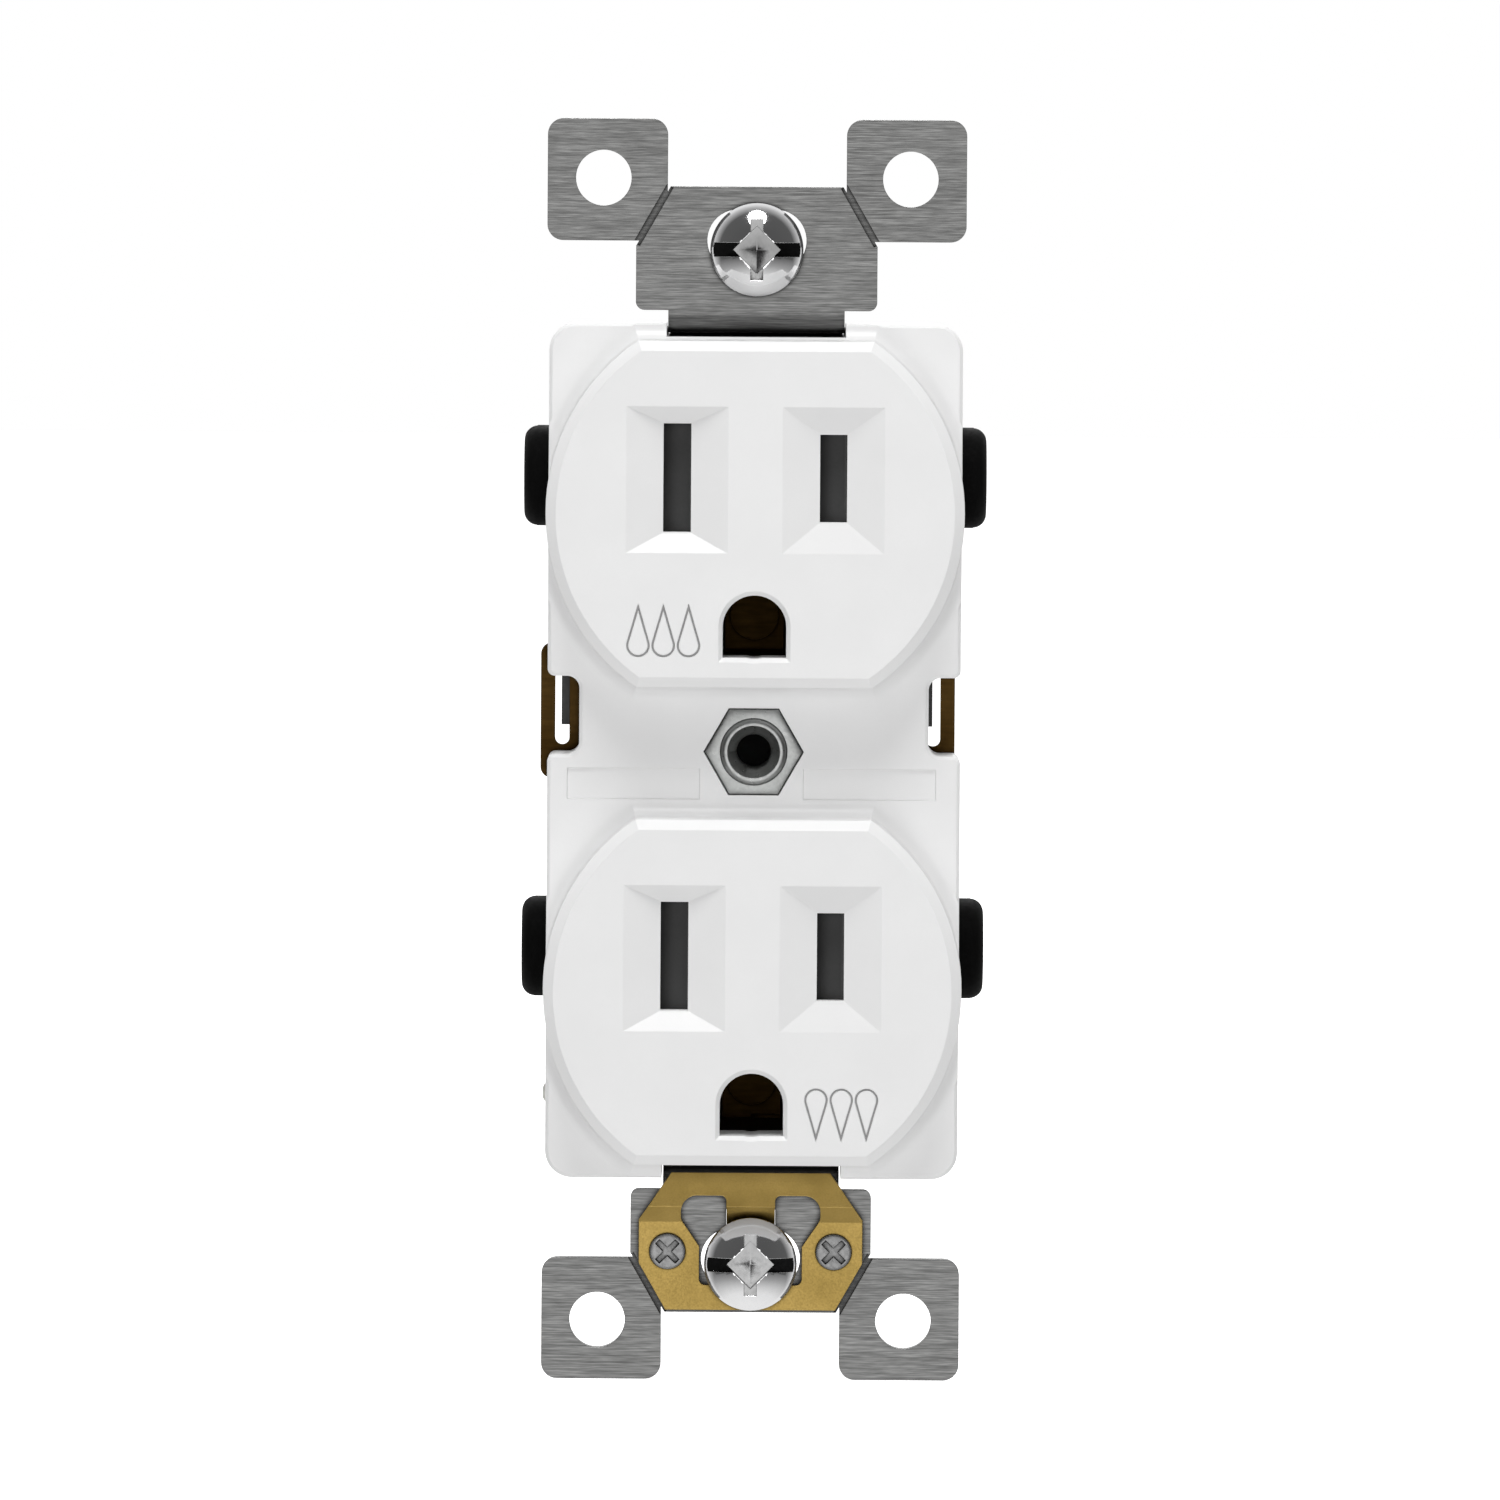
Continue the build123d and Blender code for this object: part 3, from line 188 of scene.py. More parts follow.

# A groove share given to a material below makes painted shade darken its grooves and crevices to that share
# of its colour.
materials = {
    "cover_white": finish_material(
        "cover_plastic", ((0.80, 0.80, 0.80), (0.83, 0.83, 0.83)), (0.90, 0.90, 0.90), (0.32, 0.42),
        5200.0, 0.000004, 0.0, edge=0.12, Specular_IOR_Level=0.45, Subsurface_Weight=0.05,
        Subsurface_Radius=(0.001, 0.001, 0.001),
    ),
    "body_grey": finish_material(
        "body_plastic", ((0.035, 0.035, 0.034), (0.048, 0.048, 0.047)), (0.09, 0.09, 0.09), (0.48, 0.62),
        3600.0, 0.000012, 0.0, edge=0.1,
    ),
    "strap_steel": finish_material(
        "brushed_stainless", ((0.08, 0.08, 0.079), (0.21, 0.21, 0.207)), (0.30, 0.30, 0.295), (0.28, 0.42),
        BRUSH, 0.000004, 1.0, edge=0.07, grain_detail=2.0, broad_scale=(330.0, 10500.0, 10500.0), groove_shade=0.25,
    ),
    "clip_brass": finish_material(
        "rolled_brass", ((0.22, 0.150, 0.041), (0.34, 0.235, 0.072)), (0.62, 0.46, 0.20), (0.30, 0.46),
        7000.0, 0.000006, 1.0, edge=0.09, groove_shade=0.2,
    ),
    # Painted shade: brass darkened far below the clip's brass to stand for the shade inside the housing, in
    # the ground hole and on the recessed fins.
    "contact_brass": finish_material(
        "shade_darkened_brass", ((0.030, 0.016, 0.004), (0.055, 0.031, 0.009)), (0.16, 0.10, 0.035), (0.34, 0.50),
        (500.0, 4000.0, 4000.0), 0.000004, 1.0, edge=0.08, groove_shade=0.3,
    ),
    "rivet_steel": finish_material(
        "plated_steel", ((0.15, 0.15, 0.15), (0.24, 0.24, 0.24)), (0.50, 0.50, 0.50), (0.28, 0.46),
        4200.0, 0.000006, 1.0, edge=0.06, groove_shade=0.08,
    ),
    "bushing_zinc": finish_material(
        "zinc_plate", ((0.22, 0.225, 0.22), (0.34, 0.345, 0.34)), (0.78, 0.79, 0.78), (0.26, 0.40),
        3800.0, 0.000005, 1.0, edge=0.10, groove_shade=0.10,
    ),
    "screw_chrome": finish_material(
        "bright_plate", ((0.72, 0.72, 0.73), (0.80, 0.80, 0.80)), (0.92, 0.92, 0.92), (0.05, 0.11),
        3000.0, 0.000001, 1.0, edge=0.05,
    ),
    # Painted shade: a near-black copy of the screw plating for the floors of the screw slots.
    "shade_painted_slot_floor": finish_material(
        "shade_painted_slot_floor", ((0.002, 0.002, 0.002), (0.006, 0.006, 0.006)), (0.03, 0.03, 0.03), (0.30, 0.45),
        3000.0, 0.000002, 1.0, edge=0.03,
    ),
    # Painted shade: a darker copy of the screw plating for the facets of the diamond recess and wings.
    "shade_painted_recess_metal": finish_material(
        "shade_painted_recess_metal", ((0.16, 0.16, 0.16), (0.30, 0.30, 0.30)), (0.80, 0.80, 0.80), (0.10, 0.22),
        2400.0, 0.000003, 1.0, edge=0.07,
    ),
    "screw_black": finish_material(
        "black_oxide", ((0.0015, 0.0015, 0.0015), (0.003, 0.003, 0.003)), (0.010, 0.010, 0.010), (0.60, 0.75),
        2800.0, 0.000004, 0.0, edge=0.08, Specular_IOR_Level=0.05,
    ),
    "clamp_zinc": finish_material(
        "clamp_plate", ((0.38, 0.38, 0.36), (0.50, 0.50, 0.48)), (0.65, 0.65, 0.64), (0.32, 0.46),
        3600.0, 0.000005, 1.0, edge=0.08, groove_shade=0.2,
    ),
    "ground_green": finish_material(
        "green_chromate", ((0.03, 0.13, 0.055), (0.05, 0.18, 0.08)), (0.18, 0.30, 0.20), (0.28, 0.42),
        3000.0, 0.000004, 0.75, edge=0.08,
    ),
    "shutter_grey": finish_material(
        "shutter_plastic", ((0.034, 0.034, 0.034), (0.043, 0.043, 0.043)), (0.07, 0.07, 0.07), (0.45, 0.58),
        4000.0, 0.000006, 0.0, edge=0.06,
    ),
    "retainer_plastic": finish_material(
        "retainer_plastic", ((0.55, 0.55, 0.53), (0.62, 0.62, 0.60)), (0.72, 0.72, 0.70), (0.45, 0.58),
        4000.0, 0.000006, 0.0, edge=0.08,
    ),
    "spring_steel": finish_material(
        "spring_wire", ((0.50, 0.50, 0.51), (0.62, 0.62, 0.63)), (0.75, 0.75, 0.75), (0.18, 0.30),
        6000.0, 0.000002, 1.0, edge=0.02,
    ),
    "washer_plastic": finish_material(
        "washer_plastic", ((0.66, 0.66, 0.63), (0.74, 0.74, 0.71)), (0.80, 0.80, 0.78), (0.42, 0.55),
        3400.0, 0.000008, 0.0, edge=0.08,
    ),
    "groove_line_grey": finish_material(
        "grey_mark", ((0.26, 0.26, 0.26), (0.32, 0.32, 0.32)), (0.42, 0.42, 0.42), (0.45, 0.60),
        5200.0, 0.000002, 0.0, edge=0.02,
    ),
}

slot_of = {row["node"]: row["material_slot"] for row in frame["record"]["subparts"]}
for node_name, node in frame["nodes"].items():
    node.data.materials.clear()
    node.data.materials.append(materials[slot_of[node_name]])


# ---------------------------------------------------------------- mesh helpers

SMOOTH_ANGLE = 35.0
SHARP_CORNER = 50
FLANK_GAIN = 1.35
ROOT_DROP = 0.12
ROWS_PER_PITCH = 9
TIP_DROP = 0.35
RUNOUT = 0.8


def make_object(name, vertices, faces, slot, body, smooth_angle=SMOOTH_ANGLE):
    """Mesh object from millimetre points, shaded smooth up to the angle, riding on a body."""
    mesh = bpy.data.meshes.new(name)
    mesh.from_pydata([Vector(v) * MM for v in vertices], [], faces)
    mesh.validate()
    piece = bpy.data.objects.new(name, mesh)
    bpy.context.scene.collection.objects.link(piece)
    dress(piece, slot, body, smooth_angle)
    return piece


def dress(piece, slot, body, smooth_angle=SMOOTH_ANGLE):
    """Gives a piece its shading, the material named by its slot, and its body."""
    piece.data.materials.clear()
    piece.data.materials.append(materials[slot])
    piece.data.polygons.foreach_set("use_smooth", [True] * len(piece.data.polygons))
    piece.data.set_sharp_from_angle(angle=math.radians(smooth_angle))
    if body:
        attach(piece, body)


def lathe(profile, columns=72):
    """Points and faces swept round the local Z axis; profile(angle) gives (radius, height) pairs.

    A first or last radius of 0 closes that end; otherwise the ends join, as on a ring.
    """
    rings = [profile(2 * math.pi * k / columns) for k in range(columns)]
    rows = len(rings[0])
    points, index = [], {}
    for row in range(rows):
        pole = rings[0][row][0] == 0
        for k in range(columns):
            if pole and k:
                index[row, k] = index[row, 0]
                continue
            radius, height = rings[k][row]
            angle = 2 * math.pi * k / columns
            index[row, k] = len(points)
            points.append((radius * math.cos(angle), radius * math.sin(angle), height))
    closed = rings[0][0][0] != 0
    faces = []
    for row in range(rows if closed else rows - 1):
        for k in range(columns):
            corners = [
                index[row, k],
                index[(row + 1) % rows, k],
                index[(row + 1) % rows, (k + 1) % columns],
                index[row, (k + 1) % columns],
            ]
            face = [v for place, v in enumerate(corners) if v not in corners[:place]]
            if len(face) > 2:
                faces.append(face)
    return points, faces


def thread_radius(height, angle, root, crest, pitch):
    """Radius at a height and an angle of a right-hand vee thread with a narrow flat crest and root."""
    phase = (height / pitch - angle / (2 * math.pi)) % 1.0
    ridge = 1 - abs(2 * phase - 1)
    return root + (crest - root) * min(1.0, max(0.0, FLANK_GAIN * ridge - ROOT_DROP))


def shank_rows(tip, start, root, crest, pitch, angle, point=0.6):
    """Profile of a threaded shank from under the head down to its chamfered tip."""
    rows = []
    steps = int((start - tip) / pitch * ROWS_PER_PITCH)
    for step in range(steps + 1):
        height = start - (start - tip) * step / steps
        envelope = root - TIP_DROP + (crest - root + TIP_DROP) * min(1.0, (height - tip) / point)
        runout = min(1.0, (start - height) / (RUNOUT * pitch))
        radius = thread_radius(height, angle, root, crest, pitch)
        rows.append((min(envelope, crest + (radius - crest) * runout), height))
    return rows


def arc_rows(centre, radius, start, end, steps=10):
    """Points of a circular arc in the profile plane, in degrees from the outward direction."""
    rows = []
    for step in range(steps + 1):
        angle = math.radians(start + (end - start) * step / steps)
        rows.append((centre[0] + radius * math.cos(angle), centre[1] + radius * math.sin(angle)))
    return rows


def prism(outline, low, high, inset=0.0):
    """Points and faces of a prism over an outline in local XY; inset shrinks its low end."""
    count = len(outline)
    shrink = 1.0 - inset
    points = [(x * shrink, y * shrink, low) for x, y in outline] + [(x, y, high) for x, y in outline]
    sides = [(k, (k + 1) % count, count + (k + 1) % count, count + k) for k in range(count)]
    return points, [tuple(reversed(range(count))), tuple(range(count, 2 * count)), *sides]


def rectangle(width, height):
    """Corner points of a rectangle about the origin."""
    x, y = width / 2, height / 2
    return [(-x, -y), (x, -y), (x, y), (-x, y)]


def carve(points, faces, cutters, edge=0.07):
    """Millimetre mesh with the cutters taken out of it and its sharp edges rounded."""
    shapes = []
    for shape_points, shape_faces in ((points, faces), *cutters):
        shape = bpy.data.objects.new("carve", local_mesh(shape_points, shape_faces))
        bpy.context.scene.collection.objects.link(shape)
        shapes.append(shape)
    blank = shapes[0]
    for cutter in shapes[1:]:
        cut = blank.modifiers.new("cut", "BOOLEAN")
        cut.operation = "DIFFERENCE"
        cut.solver = "EXACT"
        cut.object = cutter
    bevel = blank.modifiers.new("edge", "BEVEL")
    bevel.width = edge
    bevel.segments = 2
    bevel.limit_method = "ANGLE"
    bevel.angle_limit = math.radians(SHARP_CORNER)
    bpy.context.view_layer.update()
    result = bpy.data.meshes.new_from_object(blank.evaluated_get(bpy.context.evaluated_depsgraph_get()))
    for shape in shapes:
        bpy.data.objects.remove(shape)
    return result


def place_mesh(mesh, name, slot, body, axis, *origins):
    """Object from a millimetre mesh, copied to each origin with its +Z turned to the axis."""
    turn = Vector((0, 0, 1)).rotation_difference(Vector(axis)).to_matrix().to_4x4()
    whole = bmesh.new()
    for origin in origins:
        copy = mesh.copy()
        copy.transform(Matrix.Scale(MM, 4) @ Matrix.Translation(Vector(origin)) @ turn)
        whole.from_mesh(copy)
        bpy.data.meshes.remove(copy)
    whole.to_mesh(mesh)
    whole.free()
    mesh.name = name
    piece = bpy.data.objects.new(name, mesh)
    bpy.context.scene.collection.objects.link(piece)
    dress(piece, slot, body)
    return piece


def local_mesh(points, faces):
    """Mesh from points, with no change of unit."""
    mesh = bpy.data.meshes.new("part")
    mesh.from_pydata([Vector(v) for v in points], [], faces)
    mesh.validate()
    return mesh


# ---------------------------------------------------------------- mounting screws

CUT_TOP = 4.0
MOUNT_CREST = 1.75
MOUNT_ROOT = 1.38
MOUNT_NECK = 1.55
MOUNT_TIP_Y = 11.6
THREAD_START_Y = 1.05


def mounting_screw(name, seat_y, z):
    """Bright domed screw: slot across the head with its floor painted near-black as shade, diamond recess
    with four facets painted darker as shade, short wings.
    """
    half, rim, apex = 3.8, 0.45, 2.25
    dome = (half**2 + (apex - rim) ** 2) / (2 * (apex - rim))
    swing = math.degrees(math.asin(half / dome))
    head = arc_rows((0, apex - dome), dome, 90, 90 - swing, steps=24)
    head[0] = (0, apex)
    start, tip = seat_y - THREAD_START_Y, seat_y - MOUNT_TIP_Y

    def profile(angle):
        rows = head + [(half, 0.25), (3.72, 0.06), (3.6, 0.0), (MOUNT_NECK, 0.0), (MOUNT_NECK, start)]
        return rows + shank_rows(tip, start, MOUNT_ROOT, MOUNT_CREST, MOUNT_PITCH, angle) + [(0, tip)]

    shade_painted_slot_floor, wing_floor, ledge, pit = 0.75, 1.3, 0.7, -0.1
    corner, recess_reach = 1.95, 2.4
    diamond = [(-corner, 0), (0, -corner), (corner, 0), (0, corner)]
    cutters = [
        prism(rectangle(9.0, 1.15), shade_painted_slot_floor, CUT_TOP),
        prism(rectangle(1.05, 5.0), wing_floor, CUT_TOP),
        prism(diamond, ledge, CUT_TOP),
        prism(diamond, pit, ledge + 0.001, inset=0.97),
    ]
    mesh = carve(*lathe(profile, 64), cutters, edge=0.1)
    piece = place_mesh(mesh, name + "_detailed", "screw_chrome", name, (0, -1, 0), (0, seat_y, z))
    # Painted shade: faces on the slot floor take the near-black material, and front-facing faces in the
    # diamond recess and wings the darker metal.
    piece.data.materials.append(materials["shade_painted_slot_floor"])
    piece.data.materials.append(materials["shade_painted_recess_metal"])
    for face in piece.data.polygons:
        height = seat_y - face.center.y / MM
        across = math.hypot(face.center.x / MM, face.center.z / MM - z)
        if abs(height - shade_painted_slot_floor) < 0.02:
            face.material_index = 1
        elif pit - 0.05 < height < wing_floor + 0.02 and across < recess_reach and face.normal.y < -0.3:
            face.material_index = 2
    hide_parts(name)


mounting_screw("mounting_screw_top", -1.25, 40.92)
mounting_screw("mounting_screw_bottom", -1.95, -42.0)

# ---------------------------------------------------------------- terminal screws

TERMINAL_CREST = 2.05
TERMINAL_ROOT = 1.64
COLLAR_R = 2.45
COLLAR_TOP = -0.96
COLLAR_FOOT = -1.26


def terminal_shank(seat, tip, angle):
    """Profile under a terminal screw's head: plain neck, staked collar, thread, chamfered tip."""
    neck = [(TERMINAL_CREST, 0.0), (TERMINAL_CREST, COLLAR_TOP)]
    collar = [(COLLAR_R, COLLAR_TOP), (COLLAR_R, COLLAR_FOOT)]
    start = COLLAR_FOOT - 0.01
    thread = shank_rows(tip - seat, start, TERMINAL_ROOT, TERMINAL_CREST, MOUNT_PITCH, angle, point=0.5)
    return neck + collar + thread + [(0, tip - seat)]


def binding_screw(name, side, z):
    """Black binding head with a slot, a cross and a square drive."""
    seat, top, rim, slot, square = 16.42, 2.63, 1.1, 1.25, 2.5

    def profile(angle):
        crown = [(0, top), (1.5, top - 0.01)] + arc_rows((3.05, top - rim), rim, 88, 0, steps=8)
        return crown + [(4.15, 0.15), (4.0, 0.0)] + terminal_shank(seat, 11.4, angle)

    cutters = [
        prism(rectangle(10, slot), top - 1.05, CUT_TOP),
        prism(rectangle(slot, 5.0), top - 1.25, CUT_TOP),
        prism(rectangle(square, square), top - 1.6, CUT_TOP, inset=0.2),
    ]
    mesh = carve(*lathe(profile, 64), cutters, edge=0.1)
    origin = (side * seat, TERMINAL_Y, z)
    piece = place_mesh(mesh, name + "_detailed", "screw_black", name, (side, 0, 0), origin)
    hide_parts(name)


for side, wire in ((1, "hot"), (-1, "neutral")):
    for level, z in (("upper", 22.15), ("lower", -16.75)):
        binding_screw(f"{wire}_{level}_screw", side, z)


def hex_radius(angle, across_flats):
    """Radius of a hexagon that has a corner at angle 0."""
    return across_flats / 2 / math.cos(angle % (math.pi / 3) - math.pi / 6)


def ground_screw():
    """Green hexagon head on a washer face, with one slot."""
    seat, across_flats, skirt_r = 14.12, 6.35, 3.83

    def profile(angle):
        edge = hex_radius(angle, across_flats)
        head = [(0, 2.25), (2.85, 2.25), (min(edge, 3.2) - 0.02, 2.12), (edge, 1.85), (edge, 0.62)]
        skirt = [(edge + 0.08, 0.5), (3.7, 0.48), (skirt_r, 0.35), (skirt_r, 0.1), (3.7, 0.0)]
        return head + skirt + terminal_shank(seat, 9.7, angle)

    mesh = carve(*lathe(profile, 72), [prism(rectangle(10, 1.2), 1.25, CUT_TOP)], edge=0.08)
    origin = (-seat, TERMINAL_Y, -28.58)
    body = "ground_terminal_screw"
    piece = place_mesh(mesh, "ground_screw_detailed", "ground_green", body, (-1, 0, 0), origin)
    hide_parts("ground_terminal_screw")


ground_screw()

# ---------------------------------------------------------------- bushing and clip rivets


def bushing():
    """Hexagonal bushing with a rounded collar and an internal thread."""
    bore, groove, across_flats = 1.4, 1.72, 6.97
    flange_back, lead, thread_top, steps = -3.4, 0.35, 2.85, 72

    def profile(angle):
        edge = hex_radius(angle, across_flats)
        rows = [(2.15, 3.8)] + arc_rows((2.25, 3.3), 0.5, 90, 0, steps=7) + [(2.75, 3.42)]
        rows += [(edge - 0.16, 3.4), (edge - 0.02, 3.33), (edge, 3.2), (edge, -2.0), (5.0, -2.0)]
        rows += [(5.0, flange_back), (bore + 0.3, flange_back), (bore, flange_back + 0.3)]
        for step in range(steps):
            height = flange_back + lead + (thread_top - flange_back - lead) * step / (steps - 1)
            rows.append((thread_radius(height, angle, bore, groove, MOUNT_PITCH), height))
        return rows + [(1.45, 2.95), (2.08, 3.68)]

    mesh = local_mesh(*lathe(profile, 72))
    piece = place_mesh(
        mesh, "plate_screw_bushing_detailed", "bushing_zinc", "housing", (0, -1, 0), (0, 0, 0)
    )
    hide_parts("plate_screw_bushing")


def clip_rivets():
    """Two low rivet heads, each with a cross staked in it."""
    top, head_r, shank_r, shank = 0.35, 1.5, 0.98, 1.9

    def profile(angle):
        head = [(0, top), (1.05, top), (1.3, 0.34), (1.44, 0.28), (head_r, 0.14), (head_r, 0)]
        return head + [(shank_r, 0), (shank_r, -shank), (0, -shank)]

    cutters = []
    for turn in (math.pi / 4, 3 * math.pi / 4):
        outline = [
            (x * math.cos(turn) - y * math.sin(turn), x * math.sin(turn) + y * math.cos(turn))
            for x, y in rectangle(2.5, 0.52)
        ]
        cutters.append(prism(outline, 0.10, 1.0, inset=0.10))
    mesh = carve(*lathe(profile, 48), cutters, edge=0.05)
    origins = [(side * 6.8, -shank, -41.0) for side in (1, -1)]
    piece = place_mesh(mesh, "clip_rivets_detailed", "rivet_steel", "housing", (0, -1, 0), *origins)
    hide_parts("ground_clip_rivets")


bushing()
clip_rivets()

# ---------------------------------------------------------------- shutter springs

SPRING_FIXED_X = 10.0
SPRING_FREE_X = 2.0
SPRING_OFFSET_Z = 9.45
SPRING_Y = -5.05
COIL_R = 0.52
WIRE_R = 0.11
COIL_TURNS = 11
COIL_GAP = 0.02
CLOSED_TURNS = 1.2


def spring(place, face_z):
    """Compression spring with closed ends, coiled between its free end and its fixed end."""
    start = SPRING_FREE_X + WIRE_R + COIL_GAP
    length = SPRING_FIXED_X - SPRING_FREE_X - 2 * (WIRE_R + COIL_GAP)
    closed_pitch = 2 * WIRE_R + COIL_GAP
    open_turns = COIL_TURNS - 2 * CLOSED_TURNS
    open_pitch = (length - 2 * CLOSED_TURNS * closed_pitch) / open_turns
    per_turn, around = 28, 8

    def along(turns):
        low = min(turns, CLOSED_TURNS)
        high = max(0.0, turns - (COIL_TURNS - CLOSED_TURNS))
        return (low + high) * closed_pitch + (turns - low - high) * open_pitch

    def centre(turns):
        angle = 2 * math.pi * turns
        up = face_z + SPRING_OFFSET_Z + COIL_R * math.sin(angle)
        return Vector((start + along(turns), SPRING_Y + COIL_R * math.cos(angle), up))

    points, faces = [], []
    samples, nearby = COIL_TURNS * per_turn, 0.01
    for sample in range(samples + 1):
        turns = sample / per_turn
        here = centre(turns)
        ahead = (centre(turns + nearby) - centre(turns - nearby)).normalized()
        out = Vector((0, math.cos(2 * math.pi * turns), math.sin(2 * math.pi * turns)))
        third = ahead.cross(out).normalized()
        for k in range(around):
            angle = 2 * math.pi * k / around
            points.append(here + WIRE_R * (math.cos(angle) * out + math.sin(angle) * third))
    for sample in range(samples):
        for k in range(around):
            a, b = sample * around + k, sample * around + (k + 1) % around
            faces.append((a, b, b + around, a + around))
    faces.append(tuple(reversed(range(around))))
    faces.append(tuple(range(samples * around, (samples + 1) * around)))
    name = f"shutter_spring_{place}_coil"
    piece = make_object(name, points, faces, "spring_steel", "housing", smooth_angle=60)
    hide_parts(f"shutter_spring_{place}")
    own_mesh(piece)


for place, face_z in zip(("upper", "lower"), FACE_Z):
    spring(place, face_z)

# ---------------------------------------------------------------- grey lines in the engraved drops

DROPS = ((-7.4, 8.8, 1), (7.3, -28.11, -1))
DROP_R = 0.95
DROP_TIP = 3.4
DROP_STEP = 2.05
GROOVE_W = 0.16
GROOVE_DEPTH = 0.1


def drop_grey_lines(name, x, z, way):
    """Three grey ribbons in the grooves along the drops' outlines; way is 1 for tips up, -1 for down."""
    lean, arc_steps, ribbon_top = math.asin(DROP_R / DROP_TIP), 28, 0.3
    outline = [(0.0, DROP_TIP)]
    for step in range(arc_steps + 1):
        angle = lean - (math.pi + 2 * lean) * step / arc_steps
        outline.append((DROP_R * math.cos(angle), DROP_R * math.sin(angle)))
    # Every offset of a drop's outline is the same outline, scaled about the centre of its round end
    rings = (
        (1.0 - 0.1 * GROOVE_W / DROP_R, GROOVE_DEPTH),
        (1.0 - 0.9 * GROOVE_W / DROP_R, GROOVE_DEPTH),
        (1.0 - 0.8 * GROOVE_W / DROP_R, ribbon_top * GROOVE_DEPTH),
        (1.0 - 0.2 * GROOVE_W / DROP_R, ribbon_top * GROOVE_DEPTH),
    )
    points, faces = [], []
    count = len(outline)
    for drop in (-1, 0, 1):
        first = len(points)
        for scale, depth in rings:
            for along, up in outline:
                across = x + drop * DROP_STEP + way * scale * along
                points.append((across, FACE_Y + depth, z + way * scale * up))
        for row in range(len(rings)):
            for k in range(count):
                a, b = first + row * count, first + (row + 1) % len(rings) * count
                faces.append((a + k, a + (k + 1) % count, b + (k + 1) % count, b + k))
    make_object(name, points, faces, "groove_line_grey", "housing")


for place, (x, z, way) in zip(("upper", "lower"), DROPS):
    drop_grey_lines(f"drop_grey_lines_{place}", x, z, way)


# ---------------------------------------------------------------- floor, light, camera

FLOOR_Z = -0.0519
SENSOR = 36.0
# Each panel's name, place in metres, width in metres and power in watts
PANELS = (
    ("panel_above", (0.0, -0.36, 0.85), 0.45, 6.0),
    ("panel_front", (0.0, -1.35, -0.18), 1.5, 10.5),
    ("panel_back", (0.0, 0.70, 0.55), 0.5, 3.0),
)
# The world's brightness against the Y and the Z component of the direction looked in
BEHIND_STOPS = ((-1.0, 0.10), (-0.24, 0.12), (-0.02, 0.55), (0.12, 1.0))
BELOW_STOPS = ((-1.0, 1.0), (-0.85, 0.95), (-0.5, 0.40), (-0.12, 0.0))


def plane_object(name, corners):
    """Flat object over its corners."""
    mesh = bpy.data.meshes.new(name)
    mesh.from_pydata([Vector(c) for c in corners], [], [tuple(range(len(corners)))])
    piece = bpy.data.objects.new(name, mesh)
    bpy.context.scene.collection.objects.link(piece)
    return piece


def brightness_ramp(tree, value, stops):
    """Grey ramp over a direction's component; stops are pairs of component and brightness."""
    ramp = add_node(tree, "ShaderNodeValToRGB", {"Fac": remap(tree, value, 0.0, 1.0, -1.0, 1.0)})
    for _ in stops[2:]:
        ramp.color_ramp.elements.new(0.5)
    for element, (place, grey) in zip(ramp.color_ramp.elements, stops):
        element.position = (place + 1) / 2
        element.color = (grey, grey, grey, 1)
    return ramp.outputs["Color"]


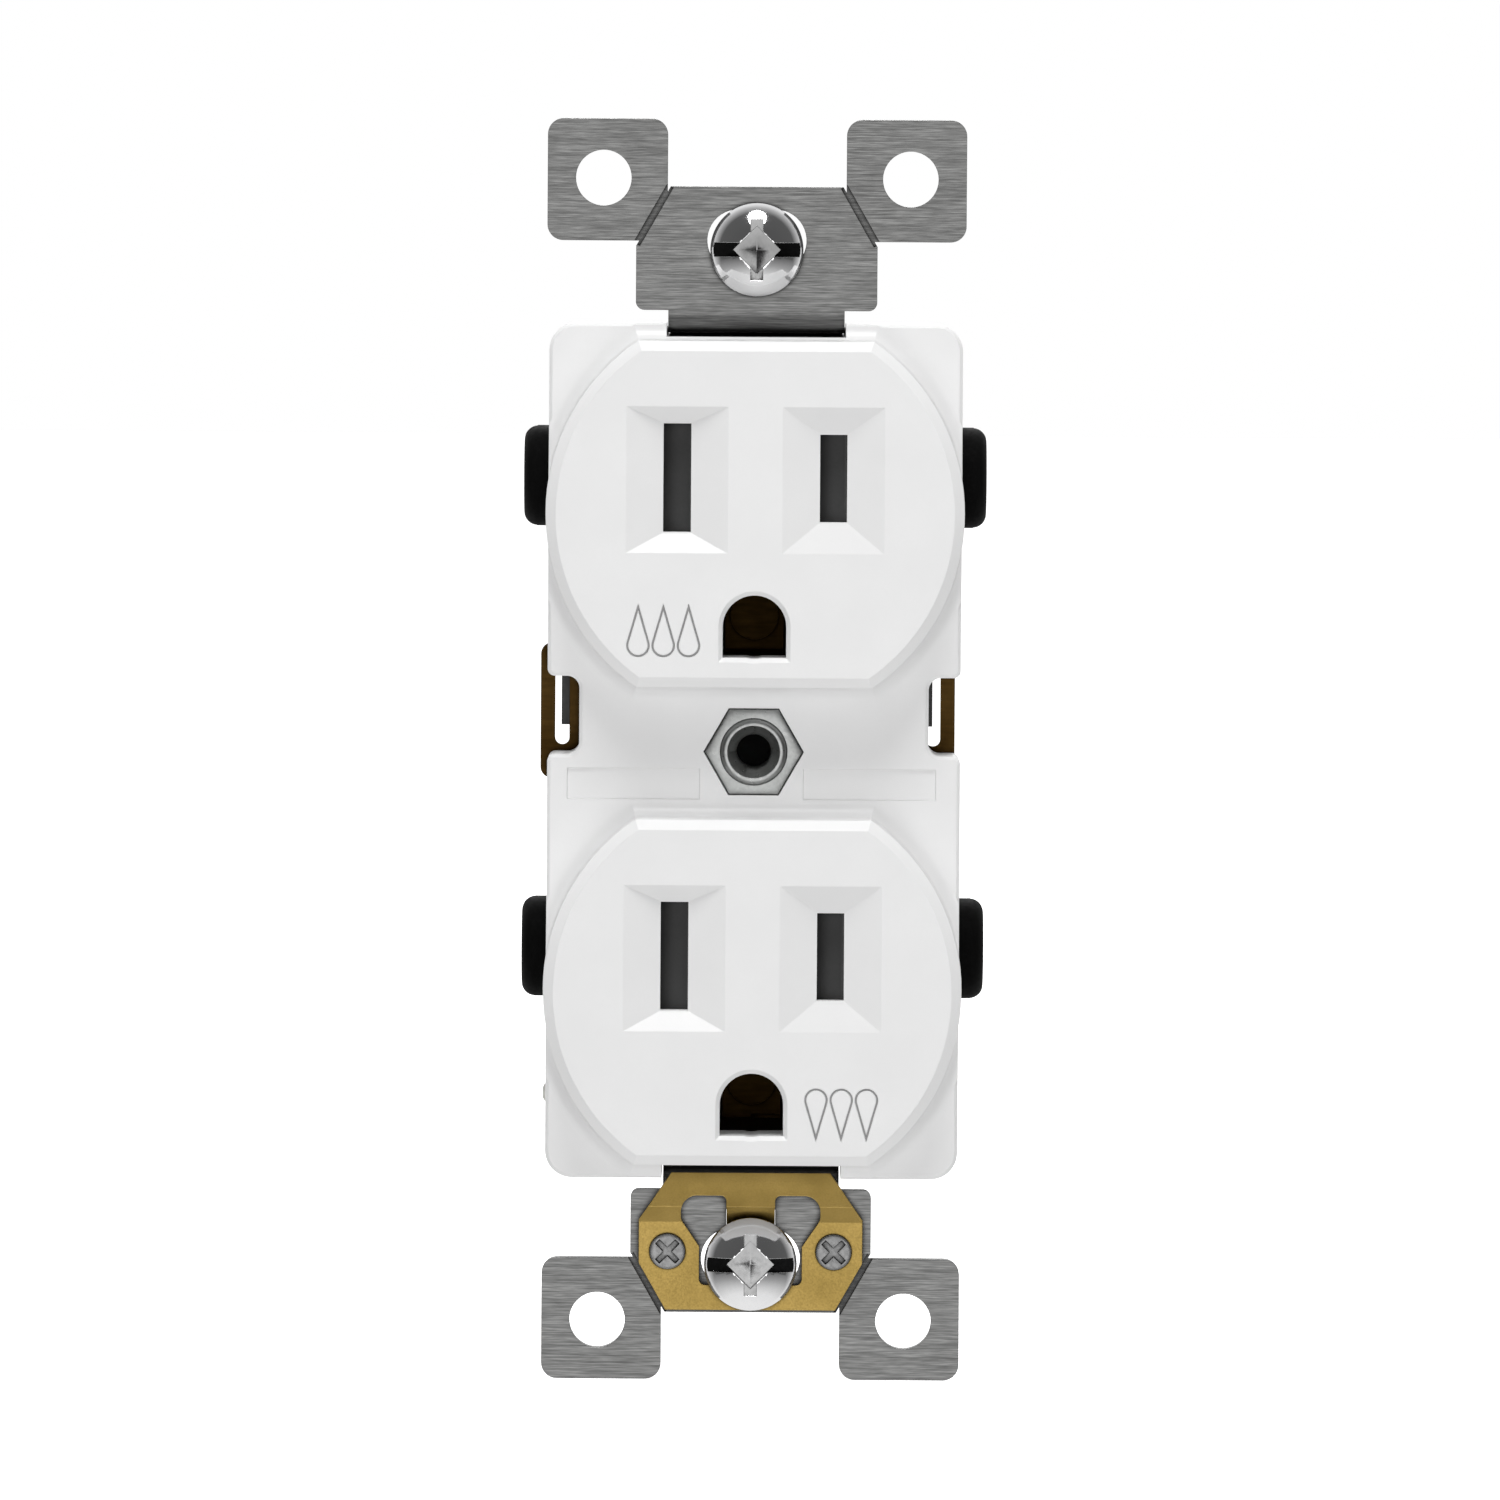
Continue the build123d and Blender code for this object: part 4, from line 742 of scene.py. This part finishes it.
def studio():
    """Pale floor that only the camera sees, soft panels, and a world that is white behind and below."""
    left, right, front, back = -3, 3, -0.15, 4
    corners = [(left, front), (right, front), (right, back), (left, back)]
    floor = plane_object("floor", [(x, y, FLOOR_Z) for x, y in corners])
    material = bpy.data.materials.new("floor_white")
    material.use_nodes = True
    tree = material.node_tree
    pale = tree.nodes["Principled BSDF"]
    pale.inputs["Base Color"].default_value = (0.95, 0.95, 0.95, 1)
    pale.inputs["Roughness"].default_value = 0.9
    pale.inputs["Emission Color"].default_value = (1, 1, 1, 1)
    pale.inputs["Emission Strength"].default_value = 0.75
    clear = add_node(tree, "ShaderNodeBsdfTransparent")
    seen = add_node(tree, "ShaderNodeLightPath").outputs["Is Camera Ray"]
    mix = add_node(tree, "ShaderNodeMixShader", {0: seen, 1: clear.outputs[0], 2: pale.outputs[0]})
    tree.links.new(mix.outputs[0], tree.nodes["Material Output"].inputs["Surface"])
    floor.data.materials.append(material)

    world = bpy.data.worlds.new("studio")
    bpy.context.scene.world = world
    world.use_nodes = True
    tree = world.node_tree
    direction = add_node(tree, "ShaderNodeTexCoord").outputs["Generated"]
    along = add_node(tree, "ShaderNodeSeparateXYZ", {"Vector": direction})
    behind = brightness_ramp(tree, along.outputs["Y"], BEHIND_STOPS)
    below = brightness_ramp(tree, along.outputs["Z"], BELOW_STOPS)
    brightest = add_node(tree, "ShaderNodeMath", {0: behind, 1: below}, operation="MAXIMUM")
    seen = add_node(tree, "ShaderNodeLightPath").outputs["Is Camera Ray"]
    sky = blend_colour(tree, seen, brightest.outputs[0], (1.0, 1.0, 1.0))
    background = tree.nodes["Background"]
    tree.links.new(sky, background.inputs["Color"])
    background.inputs["Strength"].default_value = 1.0

    for name, place, size, power in PANELS:
        light = bpy.data.lights.new(name, "AREA")
        light.shape = "ELLIPSE"
        light.size = size
        light.size_y = size
        light.energy = power
        lamp = bpy.data.objects.new(name, light)
        lamp.location = place
        lamp.rotation_euler = (-Vector(place)).to_track_quat("-Z", "Y").to_euler()
        bpy.context.scene.collection.objects.link(lamp)


def camera():
    """Long lens straight at the face, 2.5 degrees above level, rolled a third of a degree."""
    distance = 1.06
    elevation = math.radians(2.5)
    roll = math.radians(0.371)
    frame_width = 0.12275
    target = Vector((-0.0003, 0, 0))
    data = bpy.data.cameras.new("camera")
    data.sensor_width = SENSOR
    data.lens = SENSOR * distance / frame_width
    data.clip_start = 0.05
    data.clip_end = 20.0
    eye = bpy.data.objects.new("camera", data)
    eye.location = target + distance * Vector((0, -math.cos(elevation), math.sin(elevation)))
    look = (target - eye.location).to_track_quat("-Z", "Y").to_matrix()
    eye.rotation_euler = (look @ Matrix.Rotation(roll, 3, "Z")).to_euler()
    bpy.context.scene.collection.objects.link(eye)
    bpy.context.scene.camera = eye


studio()
camera()
bpy.context.scene.view_settings.view_transform = "Standard"
